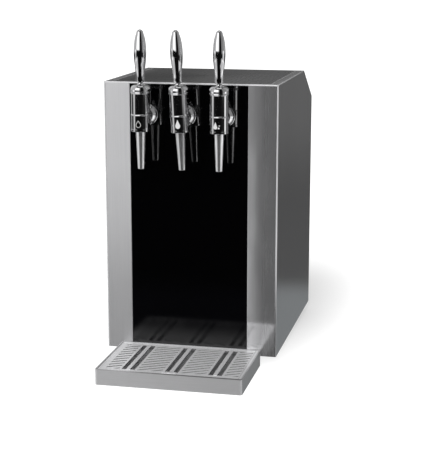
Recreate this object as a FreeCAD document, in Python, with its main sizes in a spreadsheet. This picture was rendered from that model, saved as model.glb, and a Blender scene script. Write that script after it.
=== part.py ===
import FreeCAD, Part
import math
import os
import re
import Sketcher

# Countertop drinks dispenser: a stainless cabinet with a black glass front panel, three lever taps,
# a drip tray with a lift-out grille, and the cooling, carbonating and pumping parts inside it.
# Millimetres. X runs to the right, Y to the back, Z up from the worktop. The origin lies on the
# worktop, under the middle of the whole object from the tray's front to the rear connections.

COIL_RUNS = 6

SIZES = (
    # cabinet
    ("cabinet_width", 300, "across the side panels"),
    ("cabinet_height", 467, "from the underside of the pan to the roof"),
    ("cabinet_depth", 380, "from the front face to the rear panel"),
    ("roof_run", 278, "depth of the flat part of the roof"),
    ("slope_drop", 56, "how far the rear slope falls"),
    ("rear_reach", 20, "how far the connections stand out of the rear panel"),
    ("sheet_wall", 1.2, "side, roof and rear sheets"),
    ("pan_wall", 1.5, "base pan and shelf sheet"),
    ("pan_lip", 20, "upstand of the base pan"),
    ("side_hem", 2.5, "folded front edge of a side panel"),
    ("hem_depth", 12, "depth of that fold"),
    ("edge_round", 1.1, "rounding of the outer folds"),
    ("roof_flange", 15, "turned top edge of a side panel"),
    ("ledge_width", 10, "ledge that carries a roof cover"),
    ("cover_gap", 0.3, "gap round a cover"),
    ("trim_height", 2.5, "front leg of the top trim"),
    ("trim_depth", 12, "top leg of the top trim"),
    ("rear_flange", 12, "turned rear edge of a side panel"),
    # feet
    ("foot_height", 15.6, "clear height under the cabinet"),
    ("foot_radius", 16, "a foot at the worktop"),
    ("foot_neck", 13, "a foot under the pan"),
    ("foot_inset_x", 32, "a foot's axis from the side"),
    ("foot_inset_y", 90, "a foot's axis from the front and from the rear"),
    # front
    ("left_strip_width", 45.2, "left strip, from the cabinet's side"),
    ("right_strip_width", 51, "right strip, from the cabinet's side"),
    ("strip_wall", 1.5, "sheet of the front strips"),
    ("strip_depth", 14, "depth of the front strips"),
    ("panel_thickness", 4, "black glass panel"),
    ("panel_inset", 0.3, "face of the glass behind the face of the strips"),
    ("panel_gap", 0.2, "gap beside the glass"),
    ("plate_thickness", 2, "steel plate behind the glass"),
    # taps
    ("tap_height", 413, "shank axis above the underside of the pan"),
    ("tap_start", 32, "the left tap's axis from the left edge of the panel's opening"),
    ("tap_end", 39.2, "the right tap's axis from the right edge of the panel's opening"),
    ("tap_standoff", 46, "tap axis in front of the cabinet's front face"),
    ("tap_lean", -2.6, "turn of the middle tap on its shank, degrees"),
    ("barrel_radius", 15.5, "tap body"),
    ("barrel_top", 36, "top of the body above the shank axis"),
    ("barrel_bottom", -22.5, "underside of the body"),
    ("lip_radius", 16, "lip at the bottom of the body"),
    ("lip_height", 4, "height of that lip"),
    ("belt_radius", 16.25, "ring round the middle of the body"),
    ("belt_low", 2, "underside of that ring"),
    ("belt_height", 4, "height of that ring"),
    ("bore_radius", 10, "valve chamber"),
    ("seat_level", -12, "valve seat"),
    ("outlet_radius", 5, "hole below the seat"),
    ("water_way", 4, "radius of the way through shank and spout"),
    ("collar_radius", 16.5, "ring of the bonnet"),
    ("collar_height", 8, "height of that ring"),
    ("ball_level", 50.4, "centre of the lever's ball"),
    ("ball_radius", 7, "ball of the lever"),
    ("ball_gap", 0.3, "room round the ball"),
    ("dome_cap", 2.6, "top of the bonnet above the ball's centre"),
    ("dome_mouth", 8, "radius of the bonnet's top"),
    ("dome_swell", 1, "how far the dome stands outside a straight cone"),
    ("cavity_drop", 3.8, "roof of the chamber below the ball's centre"),
    ("neck_radius", 4.5, "neck between ball and handle"),
    ("handle_start", 8.5, "underside of the handle above the ball"),
    ("handle_length", 85.1, "length of the handle"),
    ("handle_foot", 7.1, "radius at its underside"),
    ("handle_waist", 8.3, "radius at its waist"),
    ("waist_share", 0.26, "place of the waist, as a share of its length"),
    ("handle_belly", 10.4, "largest radius"),
    ("belly_share", 0.56, "place of that radius"),
    ("handle_shoulder", 8.2, "radius near its tip"),
    ("shoulder_share", 0.84, "place of that radius"),
    ("tail_drop", 14, "pin of the tail below the ball's centre"),
    ("tail_radius", 1.8, "rod of the tail"),
    ("tail_pin", 2.5, "radius of the ball at the tail's end"),
    ("tail_gap", 0.5, "side room round the tail"),
    ("tail_play", 0.6, "room above and below the tail's ball"),
    ("plunger_gap", 0.3, "room round the plunger"),
    ("plunger_foot", 6, "height of the sealing foot"),
    ("plunger_stem", 5, "radius of the waist between foot and guide"),
    ("guide_low", 14, "underside of the plunger's guide"),
    ("guide_top", 42, "top of the plunger's guide"),
    ("spout_length", 63, "spout below the body"),
    ("spout_root", 8.5, "spout radius at the body"),
    ("spout_tip", 5.65, "spout radius at its mouth"),
    ("spigot_radius", 7.5, "threaded end of the spout in the body"),
    ("spigot_height", 5, "length of that end"),
    ("thread_gap", 0.1, "between the flanks of a thread"),
    ("shank_cone", 12, "shank radius at the body"),
    ("shank_flare", 14, "shank radius at its rosette"),
    ("boss_end", 17, "end of the body's inlet boss, from the tap axis"),
    ("rosette_radius", 18, "flange against the panel"),
    ("rosette_depth", 5, "thickness of that flange"),
    ("shank_radius", 10, "threaded tail of the shank"),
    ("shank_tail", 40, "its length behind the front face"),
    ("shank_room", 0.5, "room round the shank in the panel"),
    ("nut_across", 30, "nut across its flats"),
    ("nut_height", 8, "thickness of the nut"),
    # drip tray
    ("tray_width", 247, "drip tray"),
    ("tray_reach", 163, "its front in front of the cabinet's front face"),
    ("tray_gap", 0.5, "between tray and front face"),
    ("tray_height", 26.7, "tray rim above the worktop"),
    ("tray_wall", 1.5, "tray sheet"),
    ("tray_rim", 2.5, "folded rim"),
    ("tray_ledge", 4, "ledge that carries the grille"),
    ("tray_round", 4, "upright corners of the tray"),
    ("grille_gap", 0.6, "gap round the grille"),
    ("grille_drop", 0.8, "grille below the rim"),
    ("grille_wall", 1.5, "grille sheet"),
    ("grille_skirt", 6, "turned-down edge of the grille"),
    ("bar_pitch", 73, "between two raised bars"),
    ("bar_offset", 2.8, "the middle bar from the tray's middle"),
    ("bar_width", 7, "raised bar"),
    ("bar_rise", 0.6, "height of a bar above the grille"),
    ("channel_width", 7.8, "long slot beside a bar"),
    ("channel_inset", 11, "end of a long slot from the grille's edge"),
    ("slot_width", 4.4, "slanted slot"),
    ("slot_pitch", 12.5, "between two slanted slots, across them"),
    ("slot_slant", 35, "turn of the slanted slots, degrees"),
    ("field_border", 8, "plain sheet round a field of slanted slots"),
    ("tab_width", 23, "finger tab of the grille"),
    ("tab_depth", 8, "depth of the tab"),
    # cold tank
    ("shelf_height", 184, "shelf above the underside of the pan"),
    ("shelf_gap", 10.8, "from the shelf's legs to the side panels"),
    ("shelf_start", 30, "front of the shelf behind the front face"),
    ("tank_start", 40, "front of the insulated tank behind the front face"),
    ("tank_rear_gap", 114, "from the insulated tank to the outside of the rear panel"),
    ("tank_inset", 6, "insulated tank inside the shelf's ends"),
    ("tank_height", 200, "height of the insulated tank"),
    ("foam_wall", 12, "insulation"),
    ("tank_wall", 2, "plastic tank"),
    ("lid_height", 4, "tank lid"),
    ("pipe_radius", 4, "product pipes"),
    ("pipe_clearance", 14, "from a pipe's line to the wall that it passes"),
    ("pipe_bend", 7, "bends of the refrigerant pipe"),
    ("feed_bend", 8, "bends of the feed pipes"),
    ("pipe_room", 0.4, "room round a pipe in a hole"),
    ("coil_start", 75, "first run of a product coil behind the front face"),
    ("coil_margin", 25, "from a coil's last run to the evaporator"),
    ("coil_straight", 4, "straight piece between two bends of a coil"),
    ("coil_floor", 30, "lowest bend above the tank's underside"),
    ("coil_headroom", 24, "highest bend below the lid"),
    ("evaporator_back", 12, "from the evaporator to the tank's back wall"),
    ("evaporator_radius", 3, "evaporator pipe"),
    ("evaporator_margin", 20, "from the evaporator's last run to the tank's wall"),
    ("evaporator_runs", 6, "upright runs of the evaporator"),
    ("agitator_gap", 27, "from the agitator motor to the valve block"),
    ("agitator_motor_radius", 24, "agitator motor"),
    ("agitator_motor_height", 48, "height of the agitator motor"),
    ("agitator_shaft", 3, "radius of the agitator shaft"),
    ("agitator_length", 150, "shaft below the lid's top"),
    ("impeller_radius", 18, "impeller"),
    ("impeller_height", 14, "height of the impeller's blades"),
    ("impeller_blade", 2, "thickness of a blade"),
    ("impeller_blades", 4, "number of blades"),
    ("running_fit", 0.05, "room round a shaft in its bearing"),
    # valves
    ("valve_end", 20.7, "valve block beyond the outer taps' axes"),
    ("valve_depth", 28, "depth of the valve block"),
    ("valve_height", 20, "height of the valve block"),
    ("solenoid_radius", 12, "solenoid"),
    ("solenoid_height", 30, "height of a solenoid"),
    # cooling unit
    ("compressor_gap", 1.7, "from the compressor to the water pipe beside it"),
    ("compressor_reach", 3, "compressor shell behind the insulated tank's back"),
    ("compressor_radius", 54, "compressor shell"),
    ("dome_flat", 0.6, "radius of a vessel's flat end, as a share of its own"),
    ("dome_knee", 0.92, "radius at a dome's knee, as that share"),
    ("knee_rise", 0.5, "height of the knee, as a share of the dome"),
    ("compressor_height", 96, "straight part of the shell"),
    ("compressor_dome", 22, "height of each dome"),
    ("compressor_plate", 3, "its base plate"),
    ("grommet_radius", 9, "rubber mount"),
    ("grommet_height", 12, "height of a rubber mount"),
    ("grommet_spread", 40, "mounts each side of the axis"),
    ("fan_inset", 80, "fan axis from the cabinet's side"),
    ("fan_height", 90, "fan axis above the underside of the pan"),
    ("fan_radius", 54, "fan rotor"),
    ("fan_tip_gap", 3, "between rotor and shroud"),
    ("fan_hub", 20, "hub of the rotor"),
    ("fan_blades", 5, "number of blades"),
    ("fan_blade_width", 26, "width of a blade"),
    ("fan_blade_wall", 1.8, "thickness of a blade"),
    ("fan_blade_pitch", 28, "pitch of a blade, degrees"),
    ("fan_shaft", 3, "radius of the fan shaft"),
    ("rotor_gap", 1, "between motor and rotor"),
    ("rotor_depth", 12, "depth of the rotor's hub"),
    ("shroud_width", 124, "shroud and condenser"),
    ("shroud_depth", 34, "depth of the shroud"),
    ("shroud_rear_gap", 12, "between shroud and rear panel"),
    ("fan_motor_radius", 18, "fan motor"),
    ("fan_motor_depth", 14, "depth of the fan motor"),
    ("spoke_width", 6, "arms that carry the fan motor"),
    ("condenser_depth", 30, "condenser"),
    ("fin_wall", 0.8, "condenser fin"),
    ("fin_count", 16, "number of fins"),
    ("condenser_pipe", 3.5, "radius of the condenser's pipes"),
    # carbonator and pump
    ("carbonator_gap", 22.5, "from the vessel to the shelf's leg"),
    ("carbonator_y", 105, "carbonator's axis behind the front face"),
    ("carbonator_radius", 42, "carbonator vessel"),
    ("carbonator_height", 106, "straight part of the vessel"),
    ("carbonator_dome", 18, "height of each dome"),
    ("carbonator_skirt", 34, "radius of its foot ring"),
    ("carbonator_lift", 22, "height of its foot ring"),
    ("pump_start", 36.5, "from the shelf's leg to the pump"),
    ("pump_y", 80, "pump axis behind the front face"),
    ("pump_lift", 40, "pump axis above the underside of the pan"),
    ("pump_radius", 22, "pump head"),
    ("pump_length", 46, "length of the pump head"),
    ("pump_motor_radius", 30, "pump motor"),
    ("pump_margin", 10, "from the pump motor to the carbonator"),
    ("bracket_depth", 44, "pump bracket"),
    # rear fittings
    ("slot_height", 4, "vent slot"),
    ("slot_step", 10, "between two vent slots"),
    ("vent_width", 96, "vent slots in the rear panel"),
    ("vent_count", 10, "vent slots in the rear panel"),
    ("louvre_width", 180, "vent slots in the slope"),
    ("louvre_count", 6, "vent slots in the slope"),
    ("screw_radius", 2, "cover screw"),
    ("screw_head", 3.8, "head of a cover screw"),
    ("screw_head_height", 2.2, "height of that head"),
    ("screw_length", 8, "length under the head"),
    ("screw_room", 0.2, "room round a cover screw"),
    ("screw_inset_x", 8, "a cover screw from the side"),
    ("screw_inset_z", 34, "the lowest and highest screw from the panel's ends"),
    ("screw_rows", 3, "cover screws on each side"),
    ("box_width", 130, "control box"),
    ("box_height", 96, "height of the control box"),
    ("box_depth", 56, "depth of the control box"),
    ("box_inset", 98, "middle of the control box from the cabinet's side"),
    ("box_level", 290, "middle of the control box above the underside of the pan"),
    ("box_wall", 2, "wall of the control box"),
    ("control_inset", 58, "switch, thermostat and mains inlet from the cabinet's side"),
    ("switch_level", 345, "switch above the underside of the pan"),
    ("switch_width", 30, "switch frame"),
    ("switch_height", 22, "height of the switch frame"),
    ("switch_depth", 22, "depth of the switch behind the rear panel"),
    ("switch_lip", 2, "switch frame outside the rear panel"),
    ("frame_wall", 3, "wall of the switch frame"),
    ("rocker_pin", 1.5, "radius of the rocker's pin"),
    ("pin_inset", 1, "ends of the pin inside the frame's sides"),
    ("pivot_depth", 3, "the pin behind the rear panel's face"),
    ("pocket_depth", 14.4, "room for the rocker behind the rear panel's face"),
    ("rocker_flat", 6, "flat faces of the rocker from its pin"),
    ("rocker_tilt", 10, "how far the rocker leans when off, degrees"),
    ("rocker_gap", 0.8, "room round the rocker"),
    ("rocker_radius", 9, "rocker's curved back"),
    ("thermostat_level", 300, "thermostat above the underside of the pan"),
    ("thermostat_width", 36, "thermostat body"),
    ("thermostat_depth", 24, "depth of the thermostat body"),
    ("spindle_radius", 3, "thermostat spindle"),
    ("knob_radius", 14, "thermostat knob"),
    ("knob_height", 13, "height of the knob"),
    ("knob_taper", 2, "how much its radius falls towards its face"),
    ("pointer_width", 3, "ridge across the knob's face"),
    ("pointer_inset", 3, "end of that ridge from the knob's edge"),
    ("knob_gap", 0.6, "between knob and rear panel"),
    ("inlet_level", 240, "mains inlet above the underside of the pan"),
    ("inlet_width", 34, "mains inlet"),
    ("inlet_height", 28, "height of the mains inlet"),
    ("inlet_depth", 24, "depth of the mains inlet"),
    ("inlet_lip", 2.5, "flange of the mains inlet"),
    ("socket_width", 24, "recess of the mains inlet"),
    ("socket_height", 16, "height of that recess"),
    ("blade_length", 11, "contact blades in the recess"),
    ("blade_width", 2, "thickness of a blade"),
    ("blade_height", 4, "height of a blade"),
    ("blade_pitch", 7, "between two blades"),
    ("blade_rise", 3, "earth blade above the other two"),
    ("socket_depth", 17, "depth of that recess"),
    ("connection_level", 40, "water and gas inlets above the underside of the pan"),
    ("water_inset", 38, "water inlet from the cabinet's side"),
    ("water_radius", 8.3, "water inlet thread, three-eighths pipe"),
    ("gas_inset", 76, "gas inlet from the cabinet's side"),
    ("gas_radius", 9, "gas inlet"),
    ("gas_bore", 4, "gas inlet, for an 8 mm pipe"),
    ("gas_bore_depth", 18, "depth of that bore"),
    ("hex_across", 24, "hexagon of an inlet"),
    ("hex_height", 6, "thickness of that hexagon"),
    ("inlet_tail", 14, "an inlet behind the rear panel"),
)

DERIVED = (
    ("front_y", "tray_reach - (tray_reach + cabinet_depth + rear_reach) / 2", "front face"),
    ("rear_y", "front_y + cabinet_depth", "outside of the rear panel"),
    ("pan_z", "foot_height", "underside of the pan"),
    ("roof_z", "pan_z + cabinet_height", "roof"),
    ("half_width", "cabinet_width / 2", "outside of a side panel"),
    ("panel_left", "left_strip_width - half_width", "left edge of the panel's opening"),
    ("panel_right", "half_width - right_strip_width", "right edge of the panel's opening"),
    ("tap_pitch", "(panel_right - tap_end - panel_left - tap_start) / 2", "between two taps"),
    ("tap_offset", "(panel_left + tap_start + panel_right - tap_end) / 2", "the middle tap's axis"),
    ("plate_y", "front_y + panel_inset + panel_thickness", "face of the steel plate"),
    ("slope_y", "front_y + roof_run", "start of the rear slope"),
    ("slope_z", "roof_z - slope_drop", "foot of the rear slope"),
    ("tap_y", "front_y - tap_standoff", "tap axes"),
    ("tap_z", "pan_z + tap_height", "shank axes"),
    ("ball_top", "ball_level + dome_cap", "top of the bonnet"),
    ("pin_level", "ball_level - tail_drop", "centre of the tail's ball"),
    ("tray_back", "front_y - tray_gap", "back of the tray"),
    ("tray_front", "front_y - tray_reach", "front of the tray"),
    ("grille_z", "tray_height - grille_drop", "top of the grille"),
    ("grille_half", "tray_width / 2 - tray_rim - grille_gap", "half the grille's width"),
    ("grille_front", "tray_front + tray_rim + grille_gap", "front edge of the grille"),
    ("grille_back", "tray_back - tray_rim - grille_gap", "back edge of the grille"),
    ("shelf_z", "pan_z + shelf_height", "top of the shelf"),
    ("tank_front", "front_y + tank_start", "front of the insulation"),
    ("tank_back", "rear_y - tank_rear_gap", "back of the insulation"),
    ("tank_depth", "cabinet_depth - tank_start - tank_rear_gap", "depth of the insulated tank"),
    ("shelf_depth", "tank_start + tank_depth - shelf_start", "depth of the shelf"),
    (
        "evaporator_start",
        "tank_start + tank_depth - foam_wall - tank_wall - evaporator_back",
        "evaporator behind the front face",
    ),
    ("coil_pitch", f"(evaporator_start - coil_margin - coil_start) / ({COIL_RUNS} - 1)", "between two runs"),
    ("coil_bend", "(coil_pitch - coil_straight) / 2", "bends of a product coil"),
    (
        "agitator_y",
        "evaporator_start - coil_margin - valve_depth / 2 - agitator_gap - agitator_motor_radius",
        "agitator's axis behind the front face",
    ),
    (
        "compressor_y",
        "tank_start + tank_depth + compressor_reach - compressor_radius",
        "compressor's axis behind the front face",
    ),
    ("lid_z", "shelf_z + tank_height", "underside of the lid"),
    ("lid_top", "lid_z + lid_height", "top of the lid"),
    ("pan_floor", "pan_z + pan_wall", "top of the pan's floor"),
    ("shroud_back", "rear_y - sheet_wall - shroud_rear_gap", "back of the fan shroud"),
    ("shroud_front", "shroud_back - shroud_depth", "front of the fan shroud"),
    ("fan_x", "half_width - fan_inset", "fan axis"),
    ("fan_z", "pan_z + fan_height", "fan axis"),
    ("shelf_half", "half_width - sheet_wall - shelf_gap", "half the shelf's width"),
    ("tank_half", "shelf_half - tank_inset", "half the width of the insulated tank"),
    ("pipe_lane", "pan_wall + pipe_radius + pipe_room - shelf_half", "water pipe beside the shelf's leg"),
    (
        "compressor_x",
        "pipe_lane + pipe_radius + pipe_room + compressor_gap + compressor_radius",
        "compressor's axis",
    ),
    ("evaporator_end", "tank_half - foam_wall - tank_wall - evaporator_margin", "evaporator's last run"),
    ("agitator_x", "tap_offset + tap_pitch / 2", "agitator's axis, between two product coils"),
    ("carbonator_x", "shelf_half - pan_wall - carbonator_gap - carbonator_radius", "carbonator's axis"),
    ("pump_left", "pan_wall + pump_start - shelf_half", "end of the pump's head"),
    (
        "pump_motor_length",
        "carbonator_x - carbonator_radius - pump_margin - pump_left - pump_length",
        "length of the pump motor",
    ),
    ("box_x", "box_inset - half_width", "middle of the control box"),
    ("control_x", "half_width - control_inset", "switch, thermostat and mains inlet"),
    ("water_x", "water_inset - half_width", "water inlet"),
    ("gas_x", "gas_inset - half_width", "gas inlet"),
)

doc = FreeCAD.newDocument("DrinkDispenser")
sheet = doc.addObject("Spreadsheet::Sheet", "Sizes")
nodes = {}

SIZE_NAME = re.compile(r"\b([a-z]+(?:_[a-z]+)+)\b")
RIGHT = FreeCAD.Vector(1, 0, 0)
BACK = FreeCAD.Vector(0, 1, 0)
UP = FreeCAD.Vector(0, 0, 1)
OVER = "1"

def fill_sheet():
    """Writes the driving sizes as plain numbers and the places worked out from them."""
    for row, (alias, value, note) in enumerate(SIZES + DERIVED, start=1):
        content = f"={value}" if isinstance(value, str) else str(value)
        sheet.set(f"A{row}", note)
        sheet.set(f"B{row}", content)
        sheet.setAlias(f"B{row}", alias)
    doc.recompute()


def sized(formula):
    """The formula with every size name pointing at its cell."""
    return SIZE_NAME.sub(r"Sizes.\1", formula)


def number(formula):
    """The value of a formula, now."""
    return float(sheet.evalExpression(sized(formula)))


def point(x, y, z):
    """A point from three formulas."""
    return FreeCAD.Vector(number(x), number(y), number(z))


def bind(thing, prop, formula):
    """Ties one property of a piece to the sheet."""
    thing.setExpression(prop, sized(formula))


def node(name, piece):
    """Registers a finished sub-part under the name of its file."""
    piece.Label = name
    nodes[name] = piece


def block(x, y, z):
    """A rectangular block; x, y and z are each a pair of formulas, low and high."""
    piece = doc.addObject("Part::Box", "Block")
    for prop, axis, (low, high) in (("Length", "x", x), ("Width", "y", y), ("Height", "z", z)):
        bind(piece, prop, f"({high}) - ({low})")
        bind(piece, f"Placement.Base.{axis}", low)
    return piece


def along(piece, axis, across, span):
    """Stands a piece of revolution or a prism on one axis: two formulas across it and two along it."""
    turn = {"X": FreeCAD.Rotation(BACK, 90), "Y": FreeCAD.Rotation(RIGHT, -90), "Z": FreeCAD.Rotation()}
    piece.Placement = FreeCAD.Placement(FreeCAD.Vector(), turn[axis])
    base = list(across)
    base.insert("XYZ".index(axis), span[0])
    for letter, formula in zip("xyz", base):
        bind(piece, f"Placement.Base.{letter}", formula)
    bind(piece, "Height", f"({span[1]}) - ({span[0]})")
    return piece


def rod(axis, across, span, radius, end_radius=None):
    """A cylinder, or a cone, along one axis."""
    piece = doc.addObject("Part::Cone" if end_radius else "Part::Cylinder", "Rod")
    along(piece, axis, across, span)
    if end_radius:
        bind(piece, "Radius1", radius)
        bind(piece, "Radius2", end_radius)
    else:
        bind(piece, "Radius", radius)
    return piece


def ball(x, y, z, radius):
    """A sphere."""
    piece = doc.addObject("Part::Sphere", "Ball")
    bind(piece, "Radius", radius)
    for letter, formula in zip("xyz", (x, y, z)):
        bind(piece, f"Placement.Base.{letter}", formula)
    return piece


def hexagon(axis, across, span, across_flats):
    """A hexagonal prism along one axis."""
    prism = doc.addObject("Part::Prism", "Hexagon")
    prism.Polygon = 6
    bind(prism, "Circumradius", f"({across_flats}) / 2 / cos(30)")
    return along(prism, axis, across, span)


def join(*pieces):
    """One piece out of several that touch."""
    if len(pieces) == 1:
        return pieces[0]
    piece = doc.addObject("Part::MultiFuse", "Joined")
    piece.Shapes = list(pieces)
    piece.Refine = True
    return piece


def cut(base, *tools):
    """The base without the tools."""
    piece = doc.addObject("Part::Cut", "Cut")
    piece.Base = base
    piece.Tool = join(*tools)
    piece.Refine = True
    return piece


def group(*pieces):
    """Several separate solids that share one sub-part."""
    piece = doc.addObject("Part::Compound", "Group")
    piece.Links = list(pieces)
    return piece


def outline(body, plane, corners):
    """A closed sketch of straight edges whose corners are pairs of formulas."""
    sketch = body.newObject("Sketcher::SketchObject", "Outline")
    support = [item for item in body.Origin.OriginFeatures if item.Role == plane][0]
    sketch.AttachmentSupport = [(support, "")]
    sketch.MapMode = "FlatFace"
    places = [FreeCAD.Vector(number(u), number(v), 0) for u, v in corners]
    for index, start in enumerate(places):
        sketch.addGeometry(Part.LineSegment(start, places[(index + 1) % len(places)]), False)
    for index in range(len(places)):
        following = (index + 1) % len(places)
        sketch.addConstraint(Sketcher.Constraint("Coincident", index, 2, following, 1))
    for index, corner in enumerate(corners):
        for kind, axis_line, formula in zip(("DistanceX", "DistanceY"), (-2, -1), corner):
            if formula == "0":
                sketch.addConstraint(Sketcher.Constraint("PointOnObject", index, 1, axis_line))
                continue
            rule = Sketcher.Constraint(kind, -1, 1, index, 1, number(formula))
            bind(sketch, f"Constraints[{sketch.addConstraint(rule)}]", formula)
    return sketch


def turned(corners):
    """A body of revolution about its own Z axis; corners are radius and height."""
    body = doc.addObject("PartDesign::Body", "Turned")
    profile = outline(body, "XZ_Plane", corners)
    feature = body.newObject("PartDesign::Revolution", "Turn")
    feature.Profile = profile
    feature.ReferenceAxis = (profile, ["V_Axis"])
    feature.Angle = 360
    body.Tip = feature
    return body


def plate(corners, x_low, x_high):
    """A sheet or block between two values of X whose outline lies in Y and Z."""
    body = doc.addObject("PartDesign::Body", "Plate")
    profile = outline(body, "YZ_Plane", corners)
    feature = body.newObject("PartDesign::Pad", "Pad")
    feature.Profile = profile
    bind(feature, "Length", f"({x_high}) - ({x_low})")
    bind(body, "Placement.Base.x", x_low)
    body.Tip = feature
    return body


def rounded(piece, radius, chosen):
    """Rounds the edges for which chosen(edge) holds."""
    doc.recompute()
    result = doc.addObject("Part::Fillet", "Rounded")
    result.Base = piece
    size = number(radius)
    edges = enumerate(piece.Shape.Edges, start=1)
    result.Edges = [(index, size, size) for index, edge in edges if chosen(edge)]
    return result


def placed(piece, x, y, z, turn=None):
    """Moves a piece made about its own origin to its place, turned about the Y axis if asked."""
    if turn:
        piece.Placement = FreeCAD.Placement(FreeCAD.Vector(), FreeCAD.Rotation(BACK, number(turn)))
        bind(piece, "Placement.Rotation.Angle", turn)
    for letter, formula in zip("xyz", (x, y, z)):
        bind(piece, f"Placement.Base.{letter}", formula)
    return piece


def free_form(shape):
    """A piece whose shape neither a sketch nor a primitive gives."""
    piece = doc.addObject("Part::Feature", "Form")
    piece.Shape = shape
    return piece


def pipe(route, radius, bend):
    """A bent pipe: straight runs between the points of the route, joined by arcs."""
    size = number(radius)
    turn_radius = number(bend)
    edges = []
    start = route[0]
    for corner, following in zip(route[1:-1], route[2:]):
        before = (corner - start).normalize()
        after = (following - corner).normalize()
        half_turn = before.getAngle(after) / 2
        trim = turn_radius * math.tan(half_turn)
        arc_start = corner - before * trim
        arc_end = corner + after * trim
        inward = (after - before).normalize()
        middle = corner + inward * (turn_radius / math.cos(half_turn) - turn_radius)
        edges.append(Part.LineSegment(start, arc_start).toShape())
        edges.append(Part.Arc(arc_start, middle, arc_end).toShape())
        start = arc_end
    edges.append(Part.LineSegment(start, route[-1]).toShape())
    path = Part.Wire(edges)
    first = (route[1] - route[0]).normalize()
    section = Part.Wire([Part.makeCircle(size, route[0], first)])
    return free_form(path.makePipeShell([section], True, False))


def tap_x(place):
    """X of a tap's axis: place is -1 for the left tap, 0 for the middle one and 1 for the right one."""
    return f"tap_offset + {place} * tap_pitch"


def make_base():
    """The folded base pan and the four rubber feet under it."""
    inner = ("sheet_wall - half_width", "half_width - sheet_wall")
    front = "front_y + strip_depth"
    back = "rear_y - 2 * sheet_wall"
    outer = block(inner, (front, back), ("pan_z", "pan_z + pan_lip"))
    low, high = inner
    hollow = block(
        (f"{low} + pan_wall", f"{high} - pan_wall"),
        (f"{front} + pan_wall", f"{back} - pan_wall"),
        ("pan_floor", f"pan_z + pan_lip + {OVER}"),
    )
    node("base_pan", cut(outer, hollow))
    feet = []
    for x in ("foot_inset_x - half_width", "half_width - foot_inset_x"):
        for y in ("front_y + foot_inset_y", "rear_y - foot_inset_y"):
            feet.append(rod("Z", (x, y), ("0", "foot_height"), "foot_radius", "foot_neck"))
    node("rubber_feet", group(*feet))


def shank_holes(low, high):
    """The three holes for the tap shanks, through a sheet between two values of Y."""
    span = (f"{low} - {OVER}", f"{high} + {OVER}")
    return [rod("Y", (tap_x(place), "tap_z"), span, "shank_radius + shank_room") for place in (-1, 0, 1)]


def make_front():
    """The two folded strips, the glass between them, the plate behind it and the trim on top."""
    height = ("pan_z", "roof_z - trim_height")
    depth = ("front_y", "front_y + strip_depth")
    strips = (
        ("front_strip_left", "side_hem - half_width", "panel_left"),
        ("front_strip_right", "panel_right", "half_width - side_hem"),
    )
    for name, low, high in strips:
        channel = block((low, high), depth, height)
        hollow = block(
            (f"{low} + strip_wall", f"{high} - strip_wall"),
            ("front_y + strip_wall", f"front_y + strip_depth + {OVER}"),
            (f"pan_z - {OVER}", f"roof_z + {OVER}"),
        )
        node(name, cut(channel, hollow))
    glass_y = ("front_y + panel_inset", "plate_y")
    glass = block(("panel_left + panel_gap", "panel_right - panel_gap"), glass_y, height)
    node("black_panel", cut(glass, *shank_holes(*glass_y)))
    plate_span = ("plate_y", "plate_y + plate_thickness")
    backing = block(("panel_left", "panel_right"), plate_span, height)
    node("tap_plate", cut(backing, *shank_holes(*plate_span)))
    width = ("side_hem - half_width", "half_width - side_hem")
    leg = block(width, ("front_y", "front_y + strip_wall"), ("roof_z - trim_height", "roof_z"))
    top = block(width, ("front_y", "front_y + trim_depth"), ("roof_z - sheet_wall", "roof_z"))
    node("top_trim", join(leg, top))


def make_side(name, mirrored):
    """A side panel: sheet, folded front edge, turned top and rear edges and the covers' ledges."""
    side = (
        ("front_y", "pan_z"),
        ("rear_y", "pan_z"),
        ("rear_y", "slope_z"),
        ("slope_y", "roof_z"),
        ("front_y", "roof_z"),
    )
    outside = "0 - half_width"
    inside = "roof_flange - half_width"
    sheet_part = plate(side, outside, "sheet_wall - half_width")
    hem = block((outside, "side_hem - half_width"), ("front_y", "front_y + hem_depth"), ("pan_z", "roof_z"))
    flange = roof_sheets(outside, inside, "0", "front_y + trim_depth")
    step = f"{inside} - sheet_wall"
    ledge = roof_sheets(step, f"{inside} + ledge_width", "sheet_wall", "front_y + trim_depth")
    rear = block(
        (outside, f"{outside} + sheet_wall + rear_flange"),
        ("rear_y - 2 * sheet_wall", "rear_y - sheet_wall"),
        ("pan_z", "slope_z - 2 * sheet_wall"),
    )
    rows = range(round(number("screw_rows")))
    bores = [screw_rod(outside, row, "0 - screw_length", "screw_radius + screw_room") for row in rows]
    panel = cut(join(sheet_part, hem, flange, ledge, rear), *bores)
    front_edge = number("front_y")
    far_side = number(outside)
    roof = number("roof_z")

    def outer_fold(edge):
        middle = edge.CenterOfMass
        box = edge.BoundBox
        on_side = abs(box.XMin - far_side) < 1e-4 and abs(box.XMax - far_side) < 1e-4
        upright = box.ZLength > roof / 2 and abs(middle.y - front_edge) < 1e-4
        on_top = box.YLength > box.ZLength and abs(box.ZMin - roof) < 1e-4
        return on_side and (upright or on_top)

    piece = rounded(panel, "edge_round", outer_fold)
    if mirrored:
        image = doc.addObject("Part::Mirroring", "Mirrored")
        image.Source = piece
        image.Normal = RIGHT
        piece = image
    node(name, piece)


def roof_sheets(x_low, x_high, drop, start):
    """A flat and a sloping strip of roof sheet in one piece, a drop below the roof line."""
    end = "rear_y - 2 * sheet_wall"
    fall = "slope_drop / (cabinet_depth - roof_run)"
    top = f"roof_z - {drop}"
    low = f"{top} - ({end} - slope_y) * {fall}"
    corners = (
        (start, top),
        (start, f"{top} - sheet_wall"),
        ("slope_y", f"{top} - sheet_wall"),
        (end, f"{low} - sheet_wall"),
        (end, low),
        ("slope_y", top),
    )
    return plate(corners, x_low, x_high)


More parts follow.
